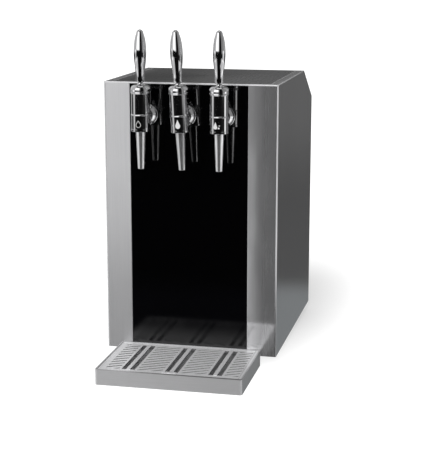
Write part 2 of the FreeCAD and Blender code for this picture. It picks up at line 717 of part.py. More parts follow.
def screw_rod(outside, row, reach, radius):
    """The run of one cover screw, from the rear panel's face inwards."""
    x = f"{outside} + screw_inset_x"
    step = "(slope_z - pan_z - 2 * screw_inset_z) / (screw_rows - 1)"
    z = f"pan_z + screw_inset_z + {row} * {step}"
    return rod("Y", (x, z), (f"rear_y + {reach}", f"rear_y + {OVER}"), radius)


def make_roof():
    """The flat roof cover and the sloping rear cover, each between the turned edges of the sides."""
    inside = "half_width - roof_flange - cover_gap"
    flat = block(
        (f"0 - ({inside})", inside),
        ("front_y + trim_depth + cover_gap", "slope_y - cover_gap"),
        ("roof_z - sheet_wall", "roof_z"),
    )
    node("roof_cover", flat)
    fall = "slope_drop / (cabinet_depth - roof_run)"
    end = "rear_y - 2 * sheet_wall"
    foot = f"roof_z - ({end} - slope_y) * {fall}"
    corners = (
        ("slope_y", "roof_z"),
        ("slope_y", "roof_z - sheet_wall"),
        (end, f"{foot} - sheet_wall"),
        (end, foot),
    )
    cover = plate(corners, f"0 - ({inside})", inside)
    slots = []
    for row in range(round(number("louvre_count"))):
        y = f"slope_y + (rear_y - slope_y) / 2 + ({row} - (louvre_count - 1) / 2) * slot_step"
        slots.append(
            block(
                ("0 - louvre_width / 2", "louvre_width / 2"),
                (y, f"{y} + slot_height"),
                (f"slope_z - {OVER}", f"roof_z + {OVER}"),
            )
        )
    node("rear_slope_cover", cut(cover, *slots))


def make_rear():
    """The rear panel with its vent slots and the openings of its fittings, and the cover screws."""
    span = ("rear_y - sheet_wall", "rear_y")
    through = (f"rear_y - sheet_wall - {OVER}", f"rear_y + {OVER}")
    wall = block(
        ("sheet_wall - half_width", "half_width - sheet_wall"),
        span,
        ("pan_z", "slope_z - sheet_wall"),
    )
    tools = []
    for row in range(round(number("vent_count"))):
        z = f"fan_z + ({row} - (vent_count - 1) / 2) * slot_step"
        width = ("fan_x - vent_width / 2", "fan_x + vent_width / 2")
        tools.append(block(width, through, (f"{z} - slot_height / 2", f"{z} + slot_height / 2")))
    tools.append(opening("switch", "switch_level", through))
    tools.append(opening("inlet", "inlet_level", through))
    tools.append(rod("Y", ("control_x", "pan_z + thermostat_level"), through, "spindle_radius + screw_room"))
    for name in ("water", "gas"):
        place = (f"{name}_x", "pan_z + connection_level")
        tools.append(rod("Y", place, through, f"{name}_radius + screw_room"))
    screws = []
    for outside in ("0 - half_width", "half_width - 2 * screw_inset_x"):
        for row in range(round(number("screw_rows"))):
            tools.append(screw_rod(outside, row, "0 - screw_length", "screw_radius + screw_room"))
            shank = screw_rod(outside, row, "0 - screw_length", "screw_radius")
            head = screw_rod(outside, row, "0", "screw_head")
            bind(head, "Height", "screw_head_height")
            screws.append(join(shank, head))
    node("rear_panel", cut(wall, *tools))
    node("cover_screws", group(*screws))


def opening(name, level, through):
    """A rectangular opening for one fitting of the rear panel."""
    return block(
        (f"control_x - {name}_width / 2", f"control_x + {name}_width / 2"),
        through,
        (f"pan_z + {level} - {name}_height / 2", f"pan_z + {level} + {name}_height / 2"),
    )


def make_tap(name, place):
    """One lever tap about its shank's axis: registers its pieces and returns the nut behind the plate."""
    home = (tap_x(place), "tap_y", "tap_z")
    turn = "tap_lean" if place == 0 else None

    def tap_node(part, piece):
        node(f"{name}_{part}", placed(piece, *home, turn))

    barrel = turned((
        ("0", "barrel_bottom"),
        ("lip_radius", "barrel_bottom"),
        ("lip_radius", "barrel_bottom + lip_height"),
        ("barrel_radius", "barrel_bottom + lip_height"),
        ("barrel_radius", "belt_low"),
        ("belt_radius", "belt_low"),
        ("belt_radius", "belt_low + belt_height"),
        ("barrel_radius", "belt_low + belt_height"),
        ("barrel_radius", "barrel_top"),
        ("0", "barrel_top"),
    ))
    boss = rod("Y", ("0", "0"), ("0", "boss_end"), "shank_cone")
    chamber = rod("Z", ("0", "0"), ("seat_level", f"barrel_top + {OVER}"), "bore_radius")
    outlet = rod("Z", ("0", "0"), (f"barrel_bottom - {OVER}", "seat_level"), "outlet_radius")
    socket_top = "barrel_bottom + spigot_height + thread_gap"
    socket = rod("Z", ("0", "0"), (f"barrel_bottom - {OVER}", socket_top), "spigot_radius + thread_gap")
    inlet = rod("Y", ("0", "0"), ("0", f"boss_end + {OVER}"), "water_way")
    tap_node("body", cut(join(barrel, boss), chamber, outlet, socket, inlet))

    bonnet = turned((
        ("0", "barrel_top"),
        ("collar_radius", "barrel_top"),
        ("collar_radius", "barrel_top + collar_height"),
        ("barrel_radius", "barrel_top + collar_height"),
        (
            "(barrel_radius + dome_mouth) / 2 + dome_swell",
            "(barrel_top + collar_height + ball_top) / 2 + dome_swell",
        ),
        ("dome_mouth", "ball_top"),
        ("0", "ball_top"),
    ))
    seat = ball("0", "0", "ball_level", "ball_radius + ball_gap")
    cavity = rod("Z", ("0", "0"), (f"barrel_top - {OVER}", "ball_level - cavity_drop"), "bore_radius")
    tap_node("bonnet", cut(bonnet, seat, cavity))

    knuckle = ball("0", "0", "ball_level", "ball_radius")
    neck = rod("Z", ("0", "0"), ("ball_level", f"ball_level + handle_start + {OVER}"), "neck_radius")
    tail = rod("Z", ("0", "0"), ("pin_level", "ball_level"), "tail_radius")
    pin = ball("0", "0", "pin_level", "tail_pin")
    tap_node("lever", join(make_handle(), knuckle, neck, tail, pin))

    radius = "bore_radius - plunger_gap"
    foot = "seat_level + plunger_gap"
    plunger = turned((
        ("0", foot),
        (radius, foot),
        (radius, f"{foot} + plunger_foot"),
        ("plunger_stem", f"{foot} + plunger_foot"),
        ("plunger_stem", "guide_low"),
        (radius, "guide_low"),
        (radius, "guide_top"),
        ("0", "guide_top"),
    ))
    across = ("0 - bore_radius", "bore_radius")
    track = block(
        ("0 - tail_pin - tail_gap", "tail_pin + tail_gap"),
        across,
        ("pin_level - tail_pin - tail_play", "pin_level + tail_pin + tail_play"),
    )
    throat = block(
        ("0 - tail_radius - tail_gap", "tail_radius + tail_gap"),
        across,
        ("pin_level", f"guide_top + {OVER}"),
    )
    tap_node("plunger", cut(plunger, track, throat))

    cone_top = "barrel_bottom"
    cone = rod("Z", ("0", "0"), (f"{cone_top} - spout_length", cone_top), "spout_tip", "spout_root")
    spigot = rod("Z", ("0", "0"), (cone_top, f"{cone_top} + spigot_height"), "spigot_radius")
    way = (f"{cone_top} - spout_length - {OVER}", f"{cone_top} + spigot_height + {OVER}")
    tap_node("spout", cut(join(cone, spigot), rod("Z", ("0", "0"), way, "water_way")))

    rosette = "tap_standoff + panel_inset - rosette_depth"
    face = "tap_standoff + panel_inset"
    end = "tap_standoff + shank_tail"
    taper = rod("Y", ("0", "0"), ("boss_end", rosette), "shank_cone", "shank_flare")
    flange = rod("Y", ("0", "0"), (rosette, face), "rosette_radius")
    stem = rod("Y", ("0", "0"), (face, end), "shank_radius")
    core = rod("Y", ("0", "0"), (f"boss_end - {OVER}", f"{end} + {OVER}"), "water_way")
    tap_node("shank", cut(join(taper, flange, stem), core))

    start = "tap_standoff + panel_inset + panel_thickness + plate_thickness"
    nut = hexagon("Y", ("0", "0"), (start, f"{start} + nut_height"), "nut_across")
    thread = (f"{start} - {OVER}", f"{start} + nut_height + {OVER}")
    bored = cut(nut, rod("Y", ("0", "0"), thread, "shank_radius + thread_gap"))
    return placed(bored, *home, turn)


def make_handle():
    """The spindle-shaped handle: a smooth curve through its radii, turned about the tap's axis."""
    foot = number("ball_level + handle_start")
    length = number("handle_length")
    curve_points = [FreeCAD.Vector(number("handle_foot"), 0, foot)]
    for station in ("waist", "belly", "shoulder"):
        height = foot + number(f"{station}_share") * length
        curve_points.append(FreeCAD.Vector(number(f"handle_{station}"), 0, height))
    tip = FreeCAD.Vector(0, 0, foot + length)
    curve = Part.BSplineCurve()
    curve.interpolate(Points=curve_points + [tip], FinalTangent=FreeCAD.Vector(-1, 0, 0), InitialTangent=UP)
    base = FreeCAD.Vector(0, 0, foot)
    underside = Part.LineSegment(base, curve_points[0]).toShape()
    axis = Part.LineSegment(tip, base).toShape()
    face = Part.Face(Part.Wire([underside, curve.toShape(), axis]))
    return free_form(face.revolve(FreeCAD.Vector(), UP, 360))


def make_tray():
    """The drip tray and the grille that lies in it."""
    half = "tray_width / 2"
    outer = block((f"0 - {half}", half), ("tray_front", "tray_back"), ("0", "tray_height"))

    def upright(edge):
        box = edge.BoundBox
        return box.ZLength > number("tray_height") / 2

    shell = rounded(outer, "tray_round", upright)
    rest_z = "grille_z - grille_wall"
    recess = block(
        (f"tray_rim - {half}", f"{half} - tray_rim"),
        ("tray_front + tray_rim", "tray_back - tray_rim"),
        (rest_z, f"tray_height + {OVER}"),
    )
    inset = "tray_rim + tray_ledge"
    mouth = block(
        (f"{inset} - {half}", f"{half} - ({inset})"),
        (f"tray_front + {inset}", f"tray_back - ({inset})"),
        (f"{rest_z} - tray_wall", f"tray_height + {OVER}"),
    )
    well = block(
        (f"tray_wall - {half}", f"{half} - tray_wall"),
        ("tray_front + tray_wall", "tray_back - tray_wall"),
        ("tray_wall", f"{rest_z} - tray_wall"),
    )
    node("drip_tray", cut(shell, recess, mouth, well))

    low_z = "grille_z - grille_wall"
    top = block(("0 - grille_half", "grille_half"), ("grille_front", "grille_back"), (low_z, "grille_z"))
    skirt_edge = "grille_half - tray_ledge - grille_gap"
    skirt_y = ("grille_front + tray_ledge + grille_gap", "grille_back - tray_ledge - grille_gap")
    skirt = block((f"0 - ({skirt_edge})", skirt_edge), skirt_y, ("grille_z - grille_skirt", low_z))
    inner = block(
        (f"grille_wall - ({skirt_edge})", f"{skirt_edge} - grille_wall"),
        (f"{skirt_y[0]} + grille_wall", f"{skirt_y[1]} - grille_wall"),
        (f"grille_z - grille_skirt - {OVER}", low_z),
    )
    through = (f"grille_z - grille_skirt - {OVER}", f"grille_z + {OVER}")
    bars = []
    slots = []
    channel_y = ("grille_front + channel_inset", "grille_back - channel_inset")
    for place in (-1, 0, 1):
        middle = f"bar_offset + {place} * bar_pitch"
        width = (f"{middle} - bar_width / 2", f"{middle} + bar_width / 2")
        bars.append(block(width, channel_y, (low_z, "grille_z + bar_rise")))
        for low in (f"{middle} - bar_width / 2 - channel_width", f"{middle} + bar_width / 2"):
            slots.append(block((low, f"{low} + channel_width"), channel_y, through))
    edge = "bar_width / 2 + channel_width + field_border / 2"
    sides = [f"field_border + {skirt_margin()} - grille_half"]
    for place in (-1, 0, 1):
        middle = f"bar_offset + {place} * bar_pitch"
        sides += [f"{middle} - ({edge})", f"{middle} + {edge}"]
    sides.append(f"grille_half - field_border - {skirt_margin()}")
    for low, high in zip(sides[0::2], sides[1::2]):
        slots.append(slanted_slots(low, high, channel_y, through))
    tab_y = ("grille_front + field_border / 2", "grille_front + field_border / 2 + tab_depth")
    tab = block(("0 - tab_width / 2", "tab_width / 2"), tab_y, (low_z, "grille_z + bar_rise"))
    node("drip_grille", join(cut(join(top, cut(skirt, inner)), *slots), tab, *bars))


def skirt_margin():
    """How far the grille's turned-down edge and its wall lie inside the grille's edge."""
    return "(tray_ledge + grille_gap + grille_wall) / 2"


def slanted_slots(x_low, x_high, y_span, z_span):
    """The parallel slanted slots of one field of the grille."""
    width = f"(({x_high}) - ({x_low}))"
    middle_x = f"(({x_low}) + ({x_high})) / 2"
    middle_y = f"(({y_span[0]}) + ({y_span[1]})) / 2"
    length = f"{width} / cos(slot_slant) * 2"
    step = "slot_pitch / cos(slot_slant)"
    reach = number(f"(({y_span[1]}) - ({y_span[0]})) / 2 + {width} / 2 * tan(slot_slant)")
    copies = math.ceil(reach / number(step))
    bars = []
    for row in range(-copies, copies + 1):
        bar = block(("0", length), ("0", "slot_width"), z_span)
        bar.Placement = FreeCAD.Placement(FreeCAD.Vector(), FreeCAD.Rotation(UP, number("slot_slant")))
        bind(bar, "Placement.Rotation.Angle", "slot_slant")
        x_shift = f"{length} / 2 * cos(slot_slant) - slot_width / 2 * sin(slot_slant)"
        y_shift = f"{length} / 2 * sin(slot_slant) + slot_width / 2 * cos(slot_slant)"
        bind(bar, "Placement.Base.x", f"{middle_x} - ({x_shift})")
        bind(bar, "Placement.Base.y", f"{middle_y} + {row} * {step} - ({y_shift})")
        bars.append(bar)
    field = doc.addObject("Part::Common", "Field")
    field.Base = group(*bars)
    field.Tool = block((x_low, x_high), y_span, z_span)
    return field


def make_tank():
    """The shelf, the insulated tank with its lid, the coils in it and the agitator."""
    shelf_y = ("front_y + shelf_start", "front_y + shelf_start + shelf_depth")
    outer = block(("0 - shelf_half", "shelf_half"), shelf_y, ("pan_floor", "shelf_z"))
    under = block(
        ("pan_wall - shelf_half", "shelf_half - pan_wall"),
        (f"{shelf_y[0]} - {OVER}", f"{shelf_y[1]} + {OVER}"),
        (f"pan_floor - {OVER}", "shelf_z - pan_wall"),
    )
    node("machine_shelf", cut(outer, under))

    foam = block(("0 - tank_half", "tank_half"), ("tank_front", "tank_back"), ("shelf_z", "lid_z"))
    tank = box_inside("foam_wall", "lid_z")
    node("tank_foam", cut(foam, box_inside("foam_wall", f"lid_z + {OVER}")))
    inner = box_inside("foam_wall + tank_wall", f"lid_z + {OVER}")
    node("cold_tank", cut(tank, inner))

    lid = block(("0 - tank_half", "tank_half"), ("tank_front", "tank_back"), ("lid_z", "lid_top"))
    through = (f"lid_z - {OVER}", f"lid_top + {OVER}")
    holes = []
    for place in (-1, 0, 1):
        for y in ("front_y + coil_start", coil_end()):
            holes.append(rod("Z", (tap_x(place), y), through, "pipe_radius + pipe_room"))
    for x in ("compressor_x", "evaporator_end"):
        place = (x, "front_y + evaporator_start")
        holes.append(rod("Z", place, through, "evaporator_radius + pipe_room"))
    agitator = ("agitator_x", "front_y + agitator_y")
    holes.append(rod("Z", agitator, through, "agitator_shaft + pipe_room"))
    node("tank_lid", cut(lid, *holes))

    motor = rod("Z", agitator, ("lid_top", "lid_top + agitator_motor_height"), "agitator_motor_radius")
    bearing = (f"lid_top - {OVER}", "lid_top + agitator_motor_height / 2")
    bore = rod("Z", agitator, bearing, "agitator_shaft + running_fit")
    node("agitator_motor", cut(motor, bore))
    shaft_top = "lid_top + agitator_motor_height / 2 - pipe_room"
    shaft = rod("Z", agitator, ("lid_top - agitator_length", shaft_top), "agitator_shaft")
    blades = []
    for index in range(round(number("impeller_blades") / 2)):
        blade = block(
            ("0 - impeller_radius", "impeller_radius"),
            ("0 - impeller_blade / 2", "impeller_blade / 2"),
            ("0", "impeller_height"),
        )
        disc = group(blade)
        turn = FreeCAD.Rotation(UP, 360 / number("impeller_blades") * index)
        disc.Placement = FreeCAD.Placement(FreeCAD.Vector(), turn)
        blades.append(placed(disc, agitator[0], agitator[1], "lid_top - agitator_length"))
    node("agitator_impeller", join(shaft, *blades))
    make_coils()


def box_inside(wall, top):
    """The space of the tank inside a wall of the given thickness."""
    return block(
        (f"{wall} - tank_half", f"tank_half - ({wall})"),
        (f"tank_front + {wall}", f"tank_back - ({wall})"),
        (f"shelf_z + {wall}", top),
    )


def coil_end():
    """Y of a product coil's last run."""
    return f"front_y + coil_start + ({COIL_RUNS} - 1) * coil_pitch"


def make_coils():
    """The three product coils, each in the plane of its tap, and the evaporator across the tank."""
    low = "shelf_z + coil_floor"
    high = "lid_z - coil_headroom"
    coils = []
    for place in (-1, 0, 1):
        x = tap_x(place)
        route = [point(x, "front_y + shank_tail", "tap_z"), point(x, "front_y + coil_start", "tap_z")]
        for run in range(COIL_RUNS):
            y = f"front_y + coil_start + {run} * coil_pitch"
            ends = (low, high) if run % 2 else (high, low)
            if run > 0:
                route.append(point(x, y, ends[0]))
            if run < COIL_RUNS - 1:
                route.append(point(x, y, ends[1]))
        route.append(point(x, coil_end(), "lid_top"))
        coils.append(pipe(route, "pipe_radius", "coil_bend"))
    node("product_coils", group(*coils))

    y = "front_y + evaporator_start"
    behind = "tank_back + pipe_clearance"
    over = "lid_top + pipe_clearance"
    under = "shelf_z - pipe_clearance"
    first = "compressor_x"
    last = "evaporator_end"
    dome = compressor_top()
    route = [
        point(first, "front_y + compressor_y", dome),
        point(first, "front_y + compressor_y", under),
        point(first, behind, under),
        point(first, behind, over),
        point(first, y, over),
    ]
    for run in range(round(number("evaporator_runs"))):
        x = f"{first} + {run} * ({last} - {first}) / (evaporator_runs - 1)"
        ends = (low, high) if run % 2 else (high, low)
        if run > 0:
            route.append(point(x, y, ends[0]))
        if run < number("evaporator_runs") - 1:
            route.append(point(x, y, ends[1]))
    condenser_y = "shroud_front - condenser_depth / 2"
    route += [
        point(last, y, over),
        point(last, behind, over),
        point(last, behind, under),
        point(last, condenser_y, under),
        point(last, condenser_y, "fan_z + shroud_width / 2"),
    ]
    node("evaporator_coil", pipe(route, "evaporator_radius", "pipe_bend"))


def make_valves():
    """The valve block on the lid with one solenoid for each tap."""
    middle = coil_end()
    width = ("tap_offset - tap_pitch - valve_end", "tap_offset + tap_pitch + valve_end")
    depth = (f"{middle} - valve_depth / 2", f"{middle} + valve_depth / 2")
    body = block(width, depth, ("lid_top", "lid_top + valve_height"))
    top = ("lid_top + valve_height", "lid_top + valve_height + solenoid_height")
    solenoids = [rod("Z", (tap_x(place), middle), top, "solenoid_radius") for place in (-1, 0, 1)]
    node("valve_block", join(body, *solenoids))


def compressor_top():
    """Z of the compressor's top."""
    return f"{shell_z()} + compressor_height + 2 * compressor_dome"


def shell_z():
    """Z of the underside of the compressor's shell."""
    return "(pan_floor + grommet_height + compressor_plate)"


def vessel(radius, straight, dome):
    """A closed vessel with domed ends, standing on its own origin."""
    return turned((
        ("0", "0"),
        (f"{radius} * dome_flat", "0"),
        (f"{radius} * dome_knee", f"{dome} * knee_rise"),
        (radius, dome),
        (radius, f"{dome} + {straight}"),
        (f"{radius} * dome_knee", f"{dome} * (2 - knee_rise) + {straight}"),
        (f"{radius} * dome_flat", f"2 * {dome} + {straight}"),
        ("0", f"2 * {dome} + {straight}"),
    ))


def make_cooling():
    """The compressor on its mounts, the condenser, the fan's shroud, motor and rotor."""
    x = "compressor_x"
    y = "front_y + compressor_y"
    shell = placed(vessel("compressor_radius", "compressor_height", "compressor_dome"), x, y, shell_z())
    spread = "grommet_spread"
    reach = f"{spread} + grommet_radius"
    base = block(
        (f"{x} - ({reach})", f"{x} + {reach}"),
        (f"{y} - ({reach})", f"{y} + {reach}"),
        ("pan_floor + grommet_height", shell_z()),
    )
    node("compressor", join(shell, base))
    mounts = []
    for side_x in (f"{x} - {spread}", f"{x} + {spread}"):
        for side_y in (f"{y} - {spread}", f"{y} + {spread}"):
            span = ("pan_floor", "pan_floor + grommet_height")
            mounts.append(rod("Z", (side_x, side_y), span, "grommet_radius"))
    node("compressor_mounts", group(*mounts))

    width = ("fan_x - shroud_width / 2", "fan_x + shroud_width / 2")
    tall = ("pan_floor", "fan_z + shroud_width / 2")
    axis = ("fan_x", "fan_z")
    frame = block(width, ("shroud_front", "shroud_back"), tall)
    tunnel_y = ("shroud_front + spoke_width", f"shroud_back + {OVER}")
    tunnel = rod("Y", axis, tunnel_y, "fan_radius + fan_tip_gap")
    quarters = []
    for side in (-1, 1):
        for level in (-1, 1):
            inner_x = f"fan_x + {side} * spoke_width / 2"
            outer_x = f"fan_x + {side} * (fan_radius + fan_tip_gap)"
            inner_z = f"fan_z + {level} * spoke_width / 2"
            outer_z = f"fan_z + {level} * (fan_radius + fan_tip_gap)"
            x_pair = (inner_x, outer_x) if side > 0 else (outer_x, inner_x)
            z_pair = (inner_z, outer_z) if level > 0 else (outer_z, inner_z)
            quarters.append(block(x_pair, (f"shroud_front - {OVER}", tunnel_y[0]), z_pair))
    mouth = rod("Y", axis, (f"shroud_front - {OVER}", tunnel_y[0]), "fan_radius + fan_tip_gap")
    windows = doc.addObject("Part::Common", "Windows")
    windows.Base = group(*quarters)
    windows.Tool = mouth
    node("fan_shroud", cut(frame, tunnel, windows))
    motor_y = ("shroud_front + spoke_width", "shroud_front + spoke_width + fan_motor_depth")
    motor = rod("Y", axis, motor_y, "fan_motor_radius")
    rotor_start = f"{motor_y[1]} + rotor_gap"
    shaft = rod("Y", axis, (motor_y[1], f"{rotor_start} + rotor_depth"), "fan_shaft")
    node("fan_motor", join(motor, shaft))
    rotor = free_form(rotor_shape())
    rotor.Placement = FreeCAD.Placement(FreeCAD.Vector(), FreeCAD.Rotation(RIGHT, -90))
    node("fan_rotor", placed(rotor, axis[0], rotor_start, axis[1]))
    make_condenser(width, tall)


def rotor_shape():
    """The fan rotor along its own Z axis: hub with a bore, and pitched blades cut to a circle."""
    depth = number("rotor_depth")
    radius = number("fan_radius")
    hub_radius = number("fan_hub")
    chord = number("fan_blade_width")
    wall = number("fan_blade_wall")
    blade = Part.makeBox(radius, chord, wall, FreeCAD.Vector(0, -chord / 2, -wall / 2))
    blade.rotate(FreeCAD.Vector(), RIGHT, number("fan_blade_pitch"))
    blade.translate(FreeCAD.Vector(0, 0, depth / 2))
    blade = blade.common(Part.makeCylinder(radius, depth))
    shape = Part.makeCylinder(hub_radius, depth)
    for index in range(round(number("fan_blades"))):
        copy = blade.copy()
        copy.rotate(FreeCAD.Vector(), UP, 360 * index / number("fan_blades"))
        shape = shape.fuse(copy)
    bore = Part.makeCylinder(number("fan_shaft + running_fit"), depth)
    return shape.cut(bore).removeSplitter()


def make_condenser(width, tall):
    """Upright fins between two end plates, crossed by the refrigerant pipes."""
    depth = ("shroud_front - condenser_depth", "shroud_front")
    parts = []
    for low in (width[0], f"{width[1]} - pan_wall"):
        parts.append(block((low, f"{low} + pan_wall"), depth, tall))
    fin_tall = ("fan_z - shroud_width / 2", tall[1])
    for index in range(round(number("fin_count"))):
        x = f"{width[0]} + {index + 1} * shroud_width / (fin_count + 1)"
        parts.append(block((x, f"{x} + fin_wall"), depth, fin_tall))
    for level in (-1, 0, 1):
        place = ("shroud_front - condenser_depth / 2", f"fan_z + {level} * shroud_width / 3")
        parts.append(rod("X", place, width, "condenser_pipe"))
    top = block(width, depth, (f"{tall[1]} - pan_wall", tall[1]))
    node("condenser", join(top, *parts))


def make_pumping():
    """The carbonator, the pump with its motor and cradle, and the pipes between them."""
    x = "carbonator_x"
    y = "front_y + carbonator_y"
    lift = "carbonator_lift / 2"
    body = vessel("carbonator_radius", "carbonator_height", "carbonator_dome")
    body = placed(body, x, y, f"pan_floor + {lift}")
    ring = rod("Z", (x, y), ("pan_floor", "pan_floor + carbonator_lift"), "carbonator_skirt")
    hollow = rod("Z", (x, y), (f"pan_floor - {OVER}", f"pan_floor + {lift}"), "carbonator_skirt - pan_wall")
    node("carbonator", join(body, cut(ring, hollow)))

    axis = ("front_y + pump_y", "pan_z + pump_lift")
    left = "pump_left"
    joint_x = f"{left} + pump_length"
    right = f"{joint_x} + pump_motor_length"
    head = rod("X", axis, (left, joint_x), "pump_radius")
    motor = rod("X", axis, (joint_x, right), "pump_motor_radius")
    node("pump", join(head, motor))
    cradle = block(
        (f"{joint_x} + pump_motor_length / 4", f"{right} - pump_motor_length / 4"),
        (f"{axis[0]} - bracket_depth / 2", f"{axis[0]} + bracket_depth / 2"),
        ("pan_floor", axis[1]),
    )
    bed = rod("X", axis, (f"{joint_x} - {OVER}", f"{right} + {OVER}"), "pump_motor_radius")
    node("pump_cradle", cut(cradle, bed))

    port_z = "pan_z + connection_level"
    tail = "rear_y - sheet_wall - inlet_tail"
    behind = "tank_back + pipe_clearance"
    under = "shelf_z - pipe_clearance"
    vessel_top = f"pan_floor + {lift} + carbonator_height + 2 * carbonator_dome"
    vessel_middle = f"pan_floor + {lift} + carbonator_dome + carbonator_height / 2"
    head_x = f"{left} + pump_length / 2"
    gas_y = f"{behind} + pipe_clearance / 2"
    gas_z = f"{vessel_middle} - carbonator_height / 4"
    valve_z = "lid_top + valve_height / 2"
    routes = (
        [
            point("water_x", tail, port_z),
            point("water_x", f"{tail} - 2 * pipe_clearance", port_z),
            point("pipe_lane", f"{tail} - 4 * pipe_clearance", port_z),
            point("pipe_lane", axis[0], port_z),
            point(left, axis[0], port_z),
        ],
        [
            point(head_x, axis[0], f"{axis[1]} + pump_radius"),
            point(head_x, axis[0], under),
            point(x, y, under),
            point(x, y, vessel_top),
        ],
        [
            point(x, f"{y} + carbonator_radius", vessel_middle),
            point(x, behind, vessel_middle),
            point(x, behind, valve_z),
            point(x, f"{coil_end()} + valve_depth / 2", valve_z),
        ],
        [
            point("gas_x", tail, port_z),
            point("gas_x", gas_y, port_z),
            point(x, gas_y, port_z),
            point(x, gas_y, gas_z),
            point(x, f"{y} + carbonator_radius", gas_z),
        ],
    )
    node("feed_pipes", group(*[pipe(route, "pipe_radius", "feed_bend") for route in routes]))


def make_controls():
    """The control box, thermostat, switch and mains inlet on the rear panel, and the inlets."""
    face = "rear_y - sheet_wall"
    box_z = "pan_z + box_level"

    def boxed(wall):
        return block(
            (f"box_x - box_width / 2 + {wall}", f"box_x + box_width / 2 - {wall}"),
            (f"{face} - box_depth + {wall}", f"{face} - {wall}"),
            (f"{box_z} - box_height / 2 + {wall}", f"{box_z} + box_height / 2 - {wall}"),
        )

    node("control_box", cut(boxed("0"), boxed("box_wall")))

    spot = ("control_x", "pan_z + thermostat_level")
    body = block(
        (f"{spot[0]} - thermostat_width / 2", f"{spot[0]} + thermostat_width / 2"),
        (f"{face} - thermostat_depth", face),
        (f"{spot[1]} - thermostat_width / 2", f"{spot[1]} + thermostat_width / 2"),
    )
    knob_y = ("rear_y + knob_gap", "rear_y + knob_gap + knob_height")
    spindle_end = f"{knob_y[0]} + knob_height / 2"
    spindle = rod("Y", spot, (face, spindle_end), "spindle_radius")
    node("thermostat", join(body, spindle))
    knob = rod("Y", spot, knob_y, "knob_radius", "knob_radius - knob_taper")
    bore_y = (f"{knob_y[0]} - {OVER}", f"{spindle_end} + pipe_room")
    bore = rod("Y", spot, bore_y, "spindle_radius + running_fit")
    pointer = block(
        (f"{spot[0]} - pointer_width / 2", f"{spot[0]} + pointer_width / 2"),
        (knob_y[1], f"{knob_y[1]} + pointer_width"),
        (spot[1], f"{spot[1]} + knob_radius - pointer_inset"),
    )
    node("thermostat_knob", join(cut(knob, bore), pointer))

    middle = ("control_x", "pan_z + switch_level")
    core = opening("switch", "switch_level", ("rear_y - switch_depth", "rear_y"))
    lip = framed(middle, "switch", "switch_lip", ("rear_y", "rear_y + switch_lip"))
    pocket_y = ("rear_y - pocket_depth", f"rear_y + switch_lip + {OVER}")
    pocket = framed(middle, "switch", "0 - frame_wall", pocket_y)
    pivot_y = "rear_y - pivot_depth"
    pin_half = "(switch_width / 2 - pin_inset)"
    pin_span = (f"{middle[0]} - {pin_half}", f"{middle[0]} + {pin_half}")
    pin = rod("X", (pivot_y, middle[1]), pin_span, "rocker_pin")
    node("switch_frame", join(cut(join(core, lip), pocket), pin))
    rocker_half = "switch_width / 2 - frame_wall - rocker_gap"
    rocker_x = (f"0 - ({rocker_half})", rocker_half)
    round_back = rod("X", ("0", "0"), rocker_x, "rocker_radius")
    trim = block(rocker_x, ("0 - rocker_flat", "rocker_radius"), ("0 - rocker_flat", "rocker_flat"))
    shaped = doc.addObject("Part::Common", "Rocker")
    shaped.Base = round_back
    shaped.Tool = trim
    bore_x = (f"{rocker_x[0]} - {OVER}", f"{rocker_x[1]} + {OVER}")
    rocker = cut(shaped, rod("X", ("0", "0"), bore_x, "rocker_pin + running_fit"))
    rocker.Placement = FreeCAD.Placement(FreeCAD.Vector(), FreeCAD.Rotation(RIGHT, -number("rocker_tilt")))
    bind(rocker, "Placement.Rotation.Angle", "0 - rocker_tilt")
    node("power_rocker", placed(rocker, "control_x", pivot_y, middle[1]))

    middle = ("control_x", "pan_z + inlet_level")
    core = opening("inlet", "inlet_level", ("rear_y - inlet_depth", "rear_y"))
    lip = framed(middle, "inlet", "switch_lip", ("rear_y", "rear_y + inlet_lip"))
    mouth = "rear_y + inlet_lip"
    recess = framed(middle, "socket", "0", (f"{mouth} - socket_depth", f"{mouth} + {OVER}"))
    blades = []
    for place in (-1, 0, 1):
        x = f"{middle[0]} + {place} * blade_pitch"
        z = f"{middle[1]} + {1 - abs(place)} * blade_rise"
        blades.append(
            block(
                (f"{x} - blade_width / 2", f"{x} + blade_width / 2"),
                (f"{mouth} - socket_depth", f"{mouth} - socket_depth + blade_length"),
                (f"{z} - blade_height / 2", f"{z} + blade_height / 2"),
            )
        )
    node("mains_inlet", join(cut(join(core, lip), recess), *blades))

    fittings = []
    for name, end, bore in (("water", "rear_reach", "water_way"), ("gas", "rear_reach", "gas_bore")):
        place = (f"{name}_x", "pan_z + connection_level")
        barrel = rod("Y", place, (f"{face} - inlet_tail", f"rear_y + {end}"), f"{name}_radius")
        nut = hexagon("Y", place, ("rear_y", "rear_y + hex_height"), "hex_across")
        hole_y = (f"rear_y + {end} - gas_bore_depth", f"rear_y + {end} + {OVER}")
        fittings.append(cut(join(barrel, nut), rod("Y", place, hole_y, bore)))
    node("inlet_fittings", group(*fittings))


def framed(middle, name, margin, span):
    """A block round a fitting's middle, as wide and high as that fitting plus a margin."""
    x, z = middle
    return block(
        (f"{x} - {name}_width / 2 - ({margin})", f"{x} + {name}_width / 2 + {margin}"),
        span,
        (f"{z} - {name}_height / 2 - ({margin})", f"{z} + {name}_height / 2 + {margin}"),
    )


def check_and_write():
    """Refuses a failed feature or a broken shape, then writes one file for each sub-part."""
    doc.recompute()
    for item in doc.Objects:
        if "Invalid" in item.State or "Error" in item.State:
            raise RuntimeError(f"{item.Label} ({item.TypeId}) has failed")
    for name, piece in nodes.items():
        if piece.Shape.isNull() or not piece.Shape.isValid():
            raise RuntimeError(f"{name} has no valid shape")
    os.makedirs("parts", exist_ok=True)
    for name, piece in nodes.items():
        piece.Shape.exportStep(f"parts/{name}.step")


